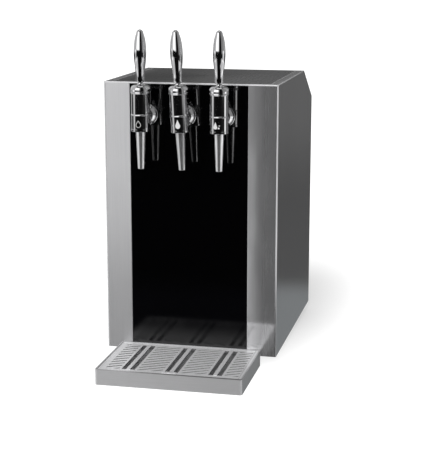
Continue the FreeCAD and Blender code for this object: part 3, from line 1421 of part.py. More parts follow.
fill_sheet()
make_base()
make_front()
make_side("side_panel_left", False)
make_side("side_panel_right", True)
make_roof()
make_rear()
tap_nuts = [make_tap(name, place) for name, place in (("tap_left", -1), ("tap_centre", 0), ("tap_right", 1))]
node("tap_nuts", group(*tap_nuts))
make_tray()
make_tank()
make_valves()
make_cooling()
make_pumping()
make_controls()
check_and_write()
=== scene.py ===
import math
from contextlib import contextmanager

import bmesh
import bpy
from bpy.props import FloatProperty, FloatVectorProperty, IntProperty, PointerProperty
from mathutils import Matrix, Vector


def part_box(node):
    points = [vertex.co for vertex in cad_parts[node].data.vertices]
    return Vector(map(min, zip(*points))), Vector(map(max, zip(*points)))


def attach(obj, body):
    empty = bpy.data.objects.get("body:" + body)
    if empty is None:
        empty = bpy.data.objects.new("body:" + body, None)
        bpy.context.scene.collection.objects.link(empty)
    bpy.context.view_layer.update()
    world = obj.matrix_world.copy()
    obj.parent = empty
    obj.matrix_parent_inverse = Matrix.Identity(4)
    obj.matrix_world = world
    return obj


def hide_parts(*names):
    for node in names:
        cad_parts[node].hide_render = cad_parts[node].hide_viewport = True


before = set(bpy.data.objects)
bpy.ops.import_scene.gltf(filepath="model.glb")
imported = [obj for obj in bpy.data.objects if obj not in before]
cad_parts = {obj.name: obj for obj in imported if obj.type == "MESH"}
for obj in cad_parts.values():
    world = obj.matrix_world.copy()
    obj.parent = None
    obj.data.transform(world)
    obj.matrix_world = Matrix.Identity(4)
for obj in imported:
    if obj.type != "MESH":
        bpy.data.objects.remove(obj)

bl_info = {
    "name": "Countertop drinks dispenser",
    "version": (1, 0, 0),
    "blender": (4, 5, 0),
    "location": "View3D > Sidebar > Dispenser",
    "description": "Models the skins, taps, tray and rear fittings of a drinks dispenser round its packed frame",
    "category": "Object",
}

MM = 0.001
CABINET = "cabinet"
TAPS = ("left", "centre", "right")

# Turns in degrees: the centre tap stands a little askew, and the rocker rests on its off side.
CENTRE_LEAN = -2.6
ROCKER_REST = -10

# Fixed sizes in millimetres.
SHANK_LENGTH = 86
SHANK_BORE = 10.5
FILM = 0.12
BAR_MIDDLES = (-70.2, 2.8, 75.8)
SLOT_MARGIN = 11
BRIDGE = 4
SLOPE_VENT = 90
REAR_VENT = 48
KNOB_BORE = 3.5
WATER_BORE = 8.8
GAS_BORE = 9.5
SCREW_BORE = 2.2
SCREW_HEAD = 3.8
FLANGE_LIP = 2
SWITCH_WALL = 5
POCKET_DEPTH = 14.4
RECESS_DEPTH = 17
BLADE_GAP = 7
HEXAGON_HEIGHT = 6
FOOT_RADIUS = 16


def metres(*values):
    """A point given in millimetres."""
    return Vector(values) * MM


def edges_of(node):
    """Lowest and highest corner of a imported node, in millimetres."""
    low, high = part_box(node)
    return low / MM, high / MM


def middle_of(node):
    """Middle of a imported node's box, in millimetres."""
    low, high = edges_of(node)
    return (low + high) / 2


PANEL_LOW, PANEL_HIGH = edges_of("black_panel")
LEFT_LOW, LEFT_HIGH = edges_of("front_strip_left")
RIGHT_LOW, RIGHT_HIGH = edges_of("front_strip_right")
TRIM_LOW, TRIM_HIGH = edges_of("top_trim")
SIDE_LOW, SIDE_HIGH = edges_of("side_panel_right")
ROOF_LOW, ROOF_HIGH = edges_of("roof_cover")
SLOPE_LOW, SLOPE_HIGH = edges_of("rear_slope_cover")
REAR_LOW, REAR_HIGH = edges_of("rear_panel")
TRAY_LOW, TRAY_HIGH = edges_of("drip_tray")
GRILLE_LOW, GRILLE_HIGH = edges_of("drip_grille")
SWITCH_LOW, SWITCH_HIGH = edges_of("switch_frame")
INLET_LOW, INLET_HIGH = edges_of("mains_inlet")


def length(name, description, value):
    """A size property, given in millimetres."""
    return FloatProperty(name=name, description=description, default=value * MM, unit="LENGTH", precision=5)


def colour(name, description, value):
    """A colour property."""
    return FloatVectorProperty(
        name=name, description=description, default=value, size=3, min=0, max=1, subtype="COLOR"
    )


class DispenserSizes(bpy.types.PropertyGroup):
    """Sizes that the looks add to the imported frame."""

    fold_radius: length("Fold radius", "Outer radius of a folded sheet edge", 1.1)
    sheet_wall: length("Sheet wall", "Wall of the cabinet's sheets", 1.2)
    strip_wall: length("Strip wall", "Wall of the front strips", 1.5)
    edge_break: length("Edge break", "Rounding of a cut edge", 0.3)
    burr: length("Burr", "Rounding of a punched edge", 0.15)
    glass_edge: length("Glass edge", "Polished chamfer round the glass", 0.6)
    roof_flange: length("Roof flange", "Turned top edge of a side panel", 15)
    hem_width: length("Hem width", "Width of a side panel's front fold", 2.5)
    hem_depth: length("Hem depth", "Depth of a side panel's front fold", 12)
    tray_rim: length("Tray rim", "Width of the tray's folded rim", 2.5)
    tray_ledge: length("Tray ledge", "Ledge that carries the grille", 4)
    tray_corner: length("Tray corner", "Radius of the tray's upright corners", 4)
    grille_wall: length("Grille wall", "Sheet of the grille", 1.5)
    grille_skirt: length("Grille skirt", "Turned-down edge of the grille, from its top", 6)
    grille_gap: length("Grille gap", "Between the skirt and the tray's ledge", 0.6)
    bar_width: length("Bar width", "A raised bar of the grille", 7)
    channel_width: length("Channel width", "The long slot on each side of a bar", 7.8)
    slot_width: length("Slot width", "Width of a slanted drain slot", 4.4)
    slot_pitch: length("Slot pitch", "Between two slanted drain slots, across them", 12.0)
    hex_across: length("Hexagon", "Across the flats of an inlet's hexagon", 24)
    vent_height: length("Vent height", "Height of a vent slot", 4)
    vent_pitch: length("Vent pitch", "Between two vent slots", 10)
    slot_slant: FloatProperty(
        name="Slot slant", description="Turn of the drain slots", default=math.radians(30), subtype="ANGLE"
    )
    turned_faces: IntProperty(
        name="Faces of a turned piece", description="Faces round a tap", default=56, min=16, max=96
    )


class DispenserColours(bpy.types.PropertyGroup):
    """Colours of the finishes."""

    steel: colour("Steel", "Brushed stainless sheet", (0.56, 0.56, 0.57))
    satin: colour("Satin steel", "Stainless sheet of tray and grille", (0.6, 0.6, 0.61))
    glass: colour("Black glass", "Glass panel, backed black", (0.0006, 0.0006, 0.0008))
    chrome: colour("Chrome", "Polished plating of the taps", (0.78, 0.78, 0.79))
    zinc: colour("Zinc", "Galvanised sheet inside", (0.45, 0.46, 0.47))
    rubber: colour("Rubber", "Feet and compressor mounts", (0.018, 0.018, 0.018))
    black_plastic: colour("Black plastic", "Knob, switch and mains inlet", (0.02, 0.02, 0.022))
    white_plastic: colour("White plastic", "Tank, lid and plungers", (0.75, 0.75, 0.72))
    foam: colour("Foam", "Insulation of the cold tank", (0.05, 0.05, 0.055))
    copper: colour("Copper", "Refrigerant pipe", (0.62, 0.29, 0.18))
    brass: colour("Brass", "Valve block and inlet fittings", (0.62, 0.46, 0.2))
    black_paint: colour("Black paint", "Compressor and pump", (0.015, 0.015, 0.016))
    aluminium: colour("Aluminium", "Condenser fins", (0.66, 0.67, 0.69))
    marking: colour("Marking", "Signs on the taps and scales", (0.72, 0.72, 0.72))
    floor: colour("Floor", "Studio floor", (0.82, 0.82, 0.82))


def sizes():
    """The scene's sizes."""
    return bpy.context.scene.dispenser_sizes


def colours():
    """The scene's colours."""
    return bpy.context.scene.dispenser_colours


# ---- shader expressions


class Wire:
    """A socket that adds Math nodes to its own tree when it is used in an expression."""

    def __init__(self, graph, socket):
        self.graph = graph
        self.socket = socket

    def maths(self, operation, *values):
        return self.graph.add("Math", dict(enumerate(values)), operation=operation)

    def __add__(self, other):
        return self.maths("ADD", self, other)

    def __sub__(self, other):
        return self.maths("SUBTRACT", self, other)

    def __mul__(self, other):
        return self.maths("MULTIPLY", self, other)

    def __rsub__(self, other):
        return self.maths("SUBTRACT", other, self)

    def __abs__(self):
        return self.maths("ABSOLUTE", self)

    def highest(self, other):
        return self.maths("MAXIMUM", self, other)

    __radd__ = __add__
    __rmul__ = __mul__


class Graph:
    """The nodes of one material or of the world."""

    def __init__(self, tree):
        self.tree = tree
        tree.nodes.clear()

    def add(self, kind, inputs=None, output=0, **settings):
        """Adds a node, sets it up, and then gives its sockets their values or links."""
        node = self.tree.nodes.new(f"ShaderNode{kind}")
        for key, value in settings.items():
            if key == "stops":
                self.fill_ramp(node.color_ramp.elements, value)
            else:
                setattr(node, key, value)
        for key, value in (inputs or {}).items():
            if isinstance(value, Wire):
                self.tree.links.new(value.socket, node.inputs[key])
            else:
                node.inputs[key].default_value = value
        return Wire(self, node.outputs[output]) if node.outputs else None

    @staticmethod
    def fill_ramp(elements, stops):
        """Gives a ramp its stops, each a place and a grey."""
        while len(elements) < len(stops):
            elements.new(1)
        for element, (place, tone) in zip(elements, stops):
            element.position = place
            element.color = opaque(tone)

    def noise(self, vector, scale, detail=2.0, rough=0.5):
        """Noise from 0 to 1; scale is one number, or one for each axis."""
        if isinstance(scale, tuple):
            vector = self.add("VectorMath", {0: vector, 1: scale}, operation="MULTIPLY")
            scale = 1
        return self.add("TexNoise", {"Vector": vector, "Scale": scale, "Detail": detail, "Roughness": rough})

    def between(self, value, low, high, start=0.0, end=1.0):
        """A smooth change from start to end as a value goes from low to high."""
        inputs = {"Value": value, "From Min": low, "From Max": high, "To Min": start, "To Max": end}
        return self.add("MapRange", inputs, interpolation_type="SMOOTHSTEP")

    def band(self, value, low, high, soft):
        """1 between low and high, falling to 0 over a soft edge on each side."""
        return self.between(value, low - soft, low) * (1 - self.between(value, high, high + soft))

    def mixed(self, factor, first, second, mode="MIX"):
        """One colour mixed with another."""
        inputs = {0: factor, 6: opaque(first), 7: opaque(second)}
        return self.add("Mix", inputs, 2, data_type="RGBA", blend_type=mode)

    def axis(self, vector, letter):
        """One component of a vector."""
        return self.add("SeparateXYZ", {0: vector}, letter)

    def bump(self, height, distance, strength):
        """A bump of the given height in metres."""
        return self.add("Bump", {"Height": height, "Distance": distance, "Strength": strength})

    def principled(self, **values):
        """A Principled shader; names are written with underscores."""
        return self.add("BsdfPrincipled", {key.replace("_", " "): value for key, value in values.items()})

    def blend(self, factor, first, second):
        """One shader mixed with another."""
        return self.add("MixShader", {0: factor, 1: first, 2: second})

    def ray(self, kind):
        """What the light path says of a ray."""
        return self.add("LightPath", output=kind)


def opaque(value):
    """A colour with full alpha, from a grey or a plain colour; a wire stays as it is."""
    if isinstance(value, Wire):
        return value
    if isinstance(value, (int, float)):
        return (value, value, value, 1)
    return (*tuple(value)[:3], 1)


def toned(base, factor):
    """A plain colour made lighter or darker."""
    return tuple(channel * factor for channel in base)


def material(name, paint, *values):
    """A material; paint(graph, object coordinates, values) returns its shader."""
    made = bpy.data.materials.new(f"{name}_look")
    made.use_nodes = True
    g = Graph(made.node_tree)
    g.add("OutputMaterial", {"Surface": paint(g, g.add("TexCoord", output="Object"), *values)})
    return made


# ---- finishes

# A spot is a place in object coordinates, so every limit along X, Y or Z is in metres.


def brushed(g, spot, base, grain, metallic=1.0, roughness=0.3, shade=None, painted_highlight=None, anisotropic=0.6):
    """Brushed sheet; grain is how fast the brushing changes along each axis, in features per metre."""
    coarse = g.noise(spot, grain, 3, 0.6)
    fine = g.noise(spot, tuple(step * 4 for step in grain), 2, 0.5)
    cloud = g.noise(spot, 9.0, 3, 0.5)
    streaks = coarse * 0.6 + fine * 0.4
    tone = g.mixed(streaks, toned(base, 0.88), toned(base, 1.1))
    tone = g.mixed(g.between(cloud, 0.35, 0.7, 0.0, 0.12), tone, toned(base, 0.8))
    # The shade function multiplies painted light and shade into the tone; the other mask paints highlights, lighter
    # and less metallic.
    if shade:
        tone = g.mixed(1.0, tone, shade(g, spot), "MULTIPLY")
    if painted_highlight:
        highlight = painted_highlight(g, spot)
        tone = g.mixed(highlight, tone, toned(base, 1.45))
        metallic = metallic - highlight * 0.65
    return g.principled(
        Base_Color=tone,
        Metallic=metallic,
        Roughness=roughness - 0.05 + streaks * 0.1 + (cloud - 0.5) * 0.06,
        Anisotropic=anisotropic,
        Normal=g.bump(streaks, 0.00002, 0.3),
    )


def painted_height_light(g, spot):
    """Painted light on the left strip: lighter towards the top."""
    height = g.axis(spot, "Z") * (1 / (LEFT_HIGH.z * MM))
    stops = ((0.08, 0.6), (0.28, 0.66), (0.5, 0.85), (0.72, 0.97), (0.95, 1.0))
    return g.add("ValToRGB", {0: height}, stops=stops)


def painted_tray_shade(g, spot):
    """Painted shade and light on the tray: darker inside under the grille and lighter there at the left, darker
    towards the right, on its right face and along the front of its rim.
    """
    x, y, z = (g.axis(spot, letter) for letter in "XYZ")
    inner = g.band(x, -0.1205, 0.1205, 0.0004) * g.band(y, -0.2785, -0.122, 0.0004)
    inner = inner * (1 - g.between(z, 0.0232, 0.0238))
    outer = g.between(x, -0.13, 0.12, 0.94, 0.82) - g.between(x, 0.1215, 0.1235) * 0.25
    # A painted shadow line along the front of the rim.
    rim = (1 - g.between(y, -0.2792, -0.2788)) * g.between(z, 0.0254, 0.0258)
    outer = outer * (1 - rim * g.between(x, -0.09, 0.02, 0.1, 0.62))
    return g.mixed(inner, outer, g.between(x, -0.12, -0.06, 1.3, 0.62))


def painted_grille_shade(g, spot):
    """Painted shade and light on the grille: darker slot walls, darker towards the right, painted shadow lines at
    the front and right edges, and a lighter band at the rear edge.
    """
    x, y, z = (g.axis(spot, letter) for letter in "XYZ")
    top = GRILLE_LOW.z * MM + sizes().grille_skirt
    walls = g.between(x, -0.1, 0.0, 0.36, 0.55)
    field = g.between(z, top - 0.0003, top - 0.0001, walls, g.between(x, -0.1, 0.11, 0.72, 0.55))
    rear = g.between(y, -0.1302, -0.1294) * 0.22
    front = (1 - g.between(y, -0.2774, -0.2768)) * g.between(x, -0.09, 0.02, 0.1, 0.5)
    return (field + rear) * (1 - front - g.band(x, 0.1156, 0.117, 0.0004) * 0.5)


def painted_bar_highlight(g, spot):
    """Painted highlight on the grille's raised bars and its tab: lighter and less metallic."""
    top = GRILLE_HIGH.z * MM
    return g.between(g.axis(spot, "Z"), top - 0.0012, top - 0.0008) * 0.3


def painted_roof_shade(g, spot):
    """Painted shade on the roof: darker towards the left, lighter again at its far left edge."""
    x = g.axis(spot, "X")
    return g.between(x, -0.06, 0.1, 0.24, 0.72) + g.between(x, -0.134, -0.11, 0.3, 0.0)


def painted_bar_shade(g, spot):
    """Painted shade on the top bar: its front leg bright, its top leg darker, as the roof looks."""
    return g.between(g.axis(spot, "Y"), -0.1179, -0.1172, 1.0, 0.3)


def painted_fold_highlight(g, spot):
    """Painted highlights on a side panel's folds: along the front edge, the roof's edge and its seam."""
    x, y, z = (g.axis(spot, letter) for letter in "XYZ")
    lasting = g.between(z, 0.04, 0.2, 0.1, 1.0).highest(1 - g.between(x, -0.1, 0.1))
    front = (1 - g.between(y, -0.118, -0.1176)) * lasting
    seams = g.between(abs(x), 0.1476, 0.148) + 1 - g.between(abs(x), 0.1362, 0.1366)
    return front.highest(g.between(z, 0.4812, 0.4816) * (seams * 0.7 + 0.3))


def hazy_strip(g, spot, base):
    """The right strip: brushed sheet that is half a mirror, with painted light: lighter beside the glass than at
    the corner, most of all below its top.
    """
    x, z = g.axis(spot, "X"), g.axis(spot, "Z")
    streaks = g.noise(spot, (900.0, 900.0, 7.0), 3, 0.6)
    wander = g.noise(spot, (60.0, 1.0, 7.0), 2) - 0.5
    place = g.between(x + wander * 0.014, RIGHT_LOW.x * MM, RIGHT_HIGH.x * MM)
    # Painted light: the tone falls off from the glass to the corner, with a lighter patch beside the glass below
    # the top.
    glow = g.between(place, 0.0, 0.5, 0.3, 0.0) * g.between(z, 0.32, 0.44, 1.0, 0.0)
    across = g.add("ValToRGB", {0: place}, stops=((0, 1.05), (0.22, 0.72), (0.5, 0.53), (1, 0.46))) * (glow + 1)
    tone = g.mixed(1.0, g.mixed(streaks, toned(base, 0.9), toned(base, 1.08)), across, "MULTIPLY")
    cloud = g.noise(spot, (22.0, 1.0, 9.0), 3, 0.5)
    tone = g.mixed(g.between(cloud, 0.4, 0.7, 0.0, 0.3), tone, toned(base, 0.62))
    haze = g.principled(Base_Color=tone, Roughness=0.45, Metallic=0.15, Normal=g.bump(streaks, 0.00002, 0.25))
    bright = opaque(toned(base, 1.25))
    shine = g.principled(Base_Color=bright, Roughness=0.09 + streaks * 0.05, Metallic=1.0, Anisotropic=0.7)
    return g.blend(0.52 + streaks * 0.1, haze, shine)


def black_glass(g, spot, base):
    """Backed glass: a mirror gloss that is misted near the tray."""
    wipe = g.noise(spot, (14.0, 14.0, 5.0), 4, 0.6)
    dust = g.between(g.noise(spot, 900.0, 1), 0.74, 0.8)
    z = g.axis(spot, "Z")
    clear = g.principled(
        Base_Color=g.mixed(dust, base, toned(base, 4)),
        Roughness=g.between(z, 0.03, 0.12, 0.19, 0.0) + g.between(wipe, 0.5, 0.8, 0.0, 0.02),
        IOR=1.7,
    )
    film = g.add("BsdfDiffuse", {"Color": opaque(toned(base, 3))})
    dulled = g.between(z, 0.035, 0.066, 0.3, 1.0) * g.between(z, 0.1, 0.16, 1.0, 0.0)
    return g.blend(dulled * (wipe * 0.3 + 0.7), clear, film)


def plated(g, spot, base, roughness=0.04, metallic=1.0):
    """Polished plating with faint hairlines."""
    hair = g.noise(spot, (700.0, 700.0, 2500.0), 2)
    film = g.noise(spot, 45.0, 3, 0.6)
    return g.principled(
        Base_Color=g.mixed(g.between(film, 0.4, 0.75), base, toned(base, 0.9)),
        Metallic=metallic,
        Roughness=roughness + film * 0.05,
        Normal=g.bump(hair, 0.000004, 0.2),
    )


def spangled(g, spot, base):
    """Galvanised sheet with its zinc flowers."""
    flower = g.add("TexVoronoi", {"Vector": spot, "Scale": 140.0}, "Color")
    grey = g.add("SeparateColor", {0: flower})
    tone = g.mixed(grey, toned(base, 0.8), toned(base, 1.2))
    return g.principled(Base_Color=tone, Metallic=0.85, Roughness=0.38 + grey * 0.16)


def moulded(g, spot, base, grain=1800.0, roughness=0.42):
    """Moulded plastic with a fine eroded texture."""
    pit = g.noise(spot, grain, 3, 0.6)
    cloud = g.noise(spot, 25.0, 2)
    return g.principled(
        Base_Color=g.mixed(cloud, toned(base, 0.86), toned(base, 1.15)),
        Roughness=roughness - 0.06 + pit * 0.12 + cloud * 0.05,
        Normal=g.bump(pit, 0.00004, 0.5),
    )


def rubbery(g, spot, base):
    """Rubber with a dusty bloom."""
    bloom = g.noise(spot, 60.0, 4, 0.65)
    return g.principled(
        Base_Color=g.mixed(g.between(bloom, 0.45, 0.75), base, toned(base, 2.4)),
        Roughness=0.62 + bloom * 0.2,
        Normal=g.bump(g.noise(spot, 2500.0, 2), 0.00006, 0.5),
    )


def cellular(g, spot, base):
    """Closed-cell foam."""
    cell = g.add("TexVoronoi", {"Vector": spot, "Scale": 600.0})
    return g.principled(
        Base_Color=g.mixed(g.between(cell, 0.2, 0.7), toned(base, 0.6), toned(base, 1.5)),
        Roughness=0.9,
        Normal=g.bump(cell, 0.0004, 0.6),
    )


def drawn(g, spot, base, tarnish, roughness=0.25):
    """Drawn or turned metal that has dulled in patches."""
    patch = g.between(g.noise(spot, 35.0, 5, 0.65), 0.42, 0.68)
    line = g.noise(spot, (1500.0, 1500.0, 400.0), 2)
    return g.principled(
        Base_Color=g.mixed(patch, base, tarnish),
        Metallic=1.0,
        Roughness=roughness + patch * 0.15 + line * 0.06,
        Normal=g.bump(line, 0.00001, 0.4),
    )


def painted(g, spot, base):
    """Semi-gloss paint with a slight orange peel."""
    wear = g.noise(spot, 30.0, 4, 0.6)
    return g.principled(
        Base_Color=g.mixed(wear, base, toned(base, 1.8)),
        Roughness=0.3 + wear * 0.18,
        Coat_Weight=0.3,
        Normal=g.bump(g.noise(spot, 420.0, 2), 0.00012, 0.25),
    )


def printed(g, spot, base):
    """Printed marking."""
    ink = g.noise(spot, 4000.0, 2)
    return g.principled(Base_Color=g.mixed(ink, toned(base, 0.9), base), Roughness=0.4 + ink * 0.1)


FINISHES = {}


def make_finishes():
    """Makes every finish once, under the name that pieces ask for."""
    c = colours()
    upright = (900.0, 900.0, 7.0)
    lengthwise = (900.0, 7.0, 900.0)
    crosswise = (7.0, 900.0, 900.0)
    paints = {
        # steel_front and steel_bar are the sides' steel made lighter and more matt, and steel_grille the tray's
        # satin made lighter: painted light.
        "steel_front": (brushed, toned(c.steel, 1.3), upright, 0.35, 0.3, painted_height_light),
        "steel_bar": (brushed, toned(c.steel, 1.4), crosswise, 0.35, 0.3, painted_bar_shade),
        "steel_right_strip": (hazy_strip, c.steel),
        "steel_side": (brushed, c.steel, upright, 1.0, 0.14, None, painted_fold_highlight, 1.0),
        "steel_roof": (brushed, c.steel, lengthwise, 1.0, 0.28, painted_roof_shade),
        "steel_tray": (brushed, toned(c.satin, 1.1), crosswise, 0.45, 0.32, painted_tray_shade),
        "steel_grille": (brushed, toned(c.satin, 1.5), lengthwise, 0.45, 0.34, painted_grille_shade, painted_bar_highlight),
        "steel_vessel": (brushed, c.steel, (300.0, 300.0, 900.0), 1.0, 0.28),
        "black_glass": (black_glass, c.glass),
        "chrome": (plated, c.chrome),
        "satin_chrome": (plated, c.chrome, 0.08, 0.88),
        "zinc": (spangled, c.zinc),
        "rubber": (rubbery, c.rubber),
        "black_plastic": (moulded, c.black_plastic),
        "white_plastic": (moulded, c.white_plastic, 900.0, 0.35),
        "foam": (cellular, c.foam),
        "copper": (drawn, c.copper, (0.3, 0.13, 0.08)),
        "steel_pipe": (drawn, c.satin, toned(c.satin, 0.7), 0.2),
        "brass": (drawn, c.brass, (0.4, 0.28, 0.12), 0.28),
        "aluminium": (drawn, c.aluminium, toned(c.aluminium, 0.7), 0.32),
        "black_paint": (painted, c.black_paint),
        "marking": (printed, c.marking),
        "print_black": (printed, c.black_plastic),
    }
    FINISHES.update({name: material(name, *paint) for name, paint in paints.items()})


# ---- modelling helpers


def clear_selection():
    """Leaves edit mode and deselects everything."""
    if bpy.context.object and bpy.context.object.mode != "OBJECT":
        bpy.ops.object.mode_set(mode="OBJECT")
    bpy.ops.object.select_all(action="DESELECT")


def take(piece):
    """Makes one piece the only selected and the active one, out of edit mode."""
    clear_selection()
    piece.select_set(True)
    bpy.context.view_layer.objects.active = piece
    return piece


def remove(piece):
    """Deletes a piece that is no longer needed."""
    take(piece)
    bpy.ops.object.delete()


def named(name):
    """Names the new active piece and its mesh."""
    piece = bpy.context.object
    piece.name = name
    piece.data.name = name
    return piece


def settle(piece):
    """Puts the place, turn and scale of a piece into its mesh."""
    take(piece)
    bpy.ops.object.transform_apply(location=True, rotation=True, scale=True)
    return piece


def rotated(piece, x=0.0, y=0.0, z=0.0):
    """Turns a piece about the origin, in degrees."""
    piece.rotation_euler = [math.radians(turn) for turn in (x, y, z)]
    return settle(piece)


def block(name, low, high):
    """A box between two corners, in millimetres."""
    low = Vector(low)
    high = Vector(high)
    clear_selection()
    bpy.ops.mesh.primitive_cube_add(size=1, location=(low + high) / 2 * MM, scale=(high - low) * MM)
    return settle(named(name))


@contextmanager
def edited(piece):
    """Keeps a piece in edit mode, at first with nothing selected."""
    take(piece)
    bpy.ops.object.mode_set(mode="EDIT")
    bpy.ops.mesh.select_mode(type="FACE")
    bpy.ops.mesh.select_all(action="DESELECT")
    yield
    bpy.ops.object.mode_set(mode="OBJECT")


def pick_all():
    """Selects all of the piece that is edited."""
    bpy.ops.mesh.select_all(action="SELECT")


def face_out():
    """Turns all faces of the edited piece outwards."""
    pick_all()
    bpy.ops.mesh.normals_make_consistent(inside=False)


def pick(piece, kind, test):
    """Selects the faces, edges or corners for which a test holds.

    The test is given a face's middle and normal, an edge's two ends or a corner's place, in millimetres.
    """
    bpy.ops.mesh.select_mode(type=kind)
    bpy.ops.mesh.select_all(action="DESELECT")
    mesh = bmesh.from_edit_mesh(piece.data)
    mesh.normal_update()
    if kind == "FACE":
        items = [(face, face.calc_center_median() / MM, face.normal) for face in mesh.faces]
    elif kind == "EDGE":
        items = [(edge, edge.verts[0].co / MM, edge.verts[1].co / MM) for edge in mesh.edges]
    else:
        items = [(corner, corner.co / MM) for corner in mesh.verts]
    for item, *places in items:
        if test(*places):
            item.select_set(True)
    bmesh.update_edit_mesh(piece.data)


def opened(piece, test):
    """Deletes the faces for which a test holds."""
    pick(piece, "FACE", test)
    bpy.ops.mesh.delete(type="FACE")


def rounded(piece, width, segments, test):
    """Rounds the edges for which a test holds."""
    pick(piece, "EDGE", test)
    bpy.ops.mesh.bevel(offset=width, segments=segments, affect="EDGES")


def split(place, normal, **settings):
    """Cuts all of the edited piece with a plane through a place in millimetres."""
    pick_all()
    bpy.ops.mesh.bisect(plane_co=metres(*place), plane_no=normal, **settings)


def push(*shift):
    """Extrudes what is selected by a shift in millimetres."""
    bpy.ops.mesh.extrude_region_move(TRANSFORM_OT_translate={"value": metres(*shift)})


def sunk(inset, depth):
    """Insets what is selected and pushes it along Z by a depth in millimetres."""
    bpy.ops.mesh.inset(thickness=inset)
    push(0, 0, depth)


def near(value, target, reach=0.05):
    """Whether two lengths in millimetres are the same."""
    return abs(value - target) < reach


def both(first, second, target):
    """Whether two lengths in millimetres are both the same as a third."""
    return near(first, target) and near(second, target)


def upright(reach):
    """A test for upright edges at a distance from the middle plane."""
    return lambda a, b: not near(a.z, b.z) and both(abs(a.x), abs(b.x), reach)


def modified(piece, kind, **settings):
    """Adds one modifier, sets it up and applies it."""
    take(piece)
    bpy.ops.object.modifier_add(type=kind)
    modifier = piece.modifiers[-1]
    for key, value in settings.items():
        setattr(modifier, key, value)
    bpy.ops.object.modifier_apply(modifier=modifier.name)
    return piece


def softened(piece, width, segments=2):
    """Rounds every edge sharper than 35 degrees."""
    limits = {"limit_method": "ANGLE", "angle_limit": math.radians(35), "use_clamp_overlap": True}
    return modified(piece, "BEVEL", width=width, segments=segments, **limits)


def walled(piece, wall):
    """Gives an open sheet its wall, inwards from its faces."""
    return modified(piece, "SOLIDIFY", thickness=wall, offset=-1, use_even_offset=True)


def joined(name, pieces):
    """Joins several pieces into one mesh."""
    take(pieces[0])
    for piece in pieces[1:]:
        piece.select_set(True)
    if len(pieces) > 1:
        bpy.ops.object.join()
    return named(name)


def combined(piece, operation, *tools):
    """Cuts the tools out of a piece, adds them to it or keeps what they share with it."""
    tool = joined("tool", tools)
    modified(piece, "BOOLEAN", operation=operation, solver="EXACT", object=tool)
    remove(tool)
    return take(piece)


def bored(piece, *tools):
    """Cuts the tools, joined into one, out of a piece."""
    return combined(piece, "DIFFERENCE", *tools)


def copied(piece, *shift):
    """A copy with its own mesh, shifted by millimetres."""
    take(piece)
    bpy.ops.object.duplicate()
    bpy.ops.transform.translate(value=metres(*shift))
    return settle(named("copy"))


def turned(name, profile, faces=None):
    """A turned piece about the Z axis: a disc extruded ring by ring through (radius, height) steps."""
    clear_selection()
    radius, height = profile[0]
    bpy.ops.mesh.primitive_circle_add(
        vertices=faces or sizes().turned_faces, radius=radius * MM, fill_type="NGON", location=(0, 0, height * MM)
    )
    piece = settle(named(name))
    with edited(piece):
        pick_all()
        for next_radius, next_height in profile[1:]:
            push(0, 0, next_height - height)
            factor = next_radius / radius
            bpy.ops.transform.resize(value=(factor, factor, 1), center_override=metres(0, 0, next_height))
            radius, height = next_radius, next_height
        face_out()
    return piece


def stood(piece, place, axis="Z", lean=0.0):
    """Moves a piece made about the origin to its place: along Y if asked, or leaning about Y."""
    if axis == "Y":
        rotated(piece, x=-90)
    piece.location = metres(*place)
    return rotated(piece, y=lean)


def hole(radius, reach, place, faces=32):
    """A cutter for a round hole along Y, reaching equally far both ways from its place."""
    return stood(turned("hole", ((radius, -reach), (radius, reach)), faces), place, "Y")


def finished(piece, finish, slot, *nodes, body=CABINET, smooth=35):
    """Shades a piece, gives it its finish, and lets it ride on its body in the place of nodes; slot is not used."""
    take(piece)
    bpy.ops.object.shade_smooth_by_angle(angle=math.radians(smooth))
    modified(piece, "WEIGHTED_NORMAL", keep_sharp=True, weight=100)
    piece.data.materials.clear()
    piece.data.materials.append(FINISHES[finish])
    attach(piece, body)
    if nodes:
        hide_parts(*nodes)


# ---- cabinet front


def folded_strip(name, low, high):
    """A front strip: a box opened at the back and both ends, with rounded folds and a wall."""
    piece = block(name, low, high)
    with edited(piece):
        opened(piece, lambda at, normal: normal.y > 0.5 or abs(normal.z) > 0.5)
        rounded(piece, sizes().fold_radius, 4, lambda a, b: both(a.y, b.y, low.y) and not near(a.z, b.z))
    walled(piece, sizes().strip_wall)
    return softened(piece, sizes().burr, 1)


def glass_panel():
    """The glass with its polished chamfer and the three holes for the tap shanks."""
    piece = softened(block("glass_panel", PANEL_LOW, PANEL_HIGH), sizes().glass_edge)
    shanks = [middle_of(f"tap_{tap}_shank") for tap in TAPS]
    return bored(piece, *[hole(SHANK_BORE, 10, (at.x, PANEL_LOW.y, at.z), 48) for at in shanks])


def trim_bar():
    """The folded bar along the top front edge."""
    piece = block("top_bar", TRIM_LOW, TRIM_HIGH)
    with edited(piece):
        opened(piece, lambda at, normal: normal.y > 0.5 or normal.z < -0.5 or abs(normal.x) > 0.5)
        rounded(piece, sizes().fold_radius, 4, lambda a, b: near(a.y, TRIM_LOW.y) and both(a.z, b.z, TRIM_HIGH.z))
    return walled(piece, sizes().sheet_wall)


class DISPENSER_OT_front(bpy.types.Operator):
    """Model the two front strips, the glass between them and the bar on top"""

    bl_idname = "dispenser.front"
    bl_label = "Cabinet front"

    def execute(self, context):
        left = folded_strip("strip_left", LEFT_LOW, LEFT_HIGH)
        finished(left, "steel_front", "stainless", "front_strip_left")
        right = folded_strip("strip_right", RIGHT_LOW, RIGHT_HIGH)
        finished(right, "steel_right_strip", "stainless", "front_strip_right")
        finished(glass_panel(), "black_glass", "black_glass", "black_panel")
        finished(trim_bar(), "steel_bar", "stainless", "top_trim")
        return {"FINISHED"}


# ---- cabinet skins


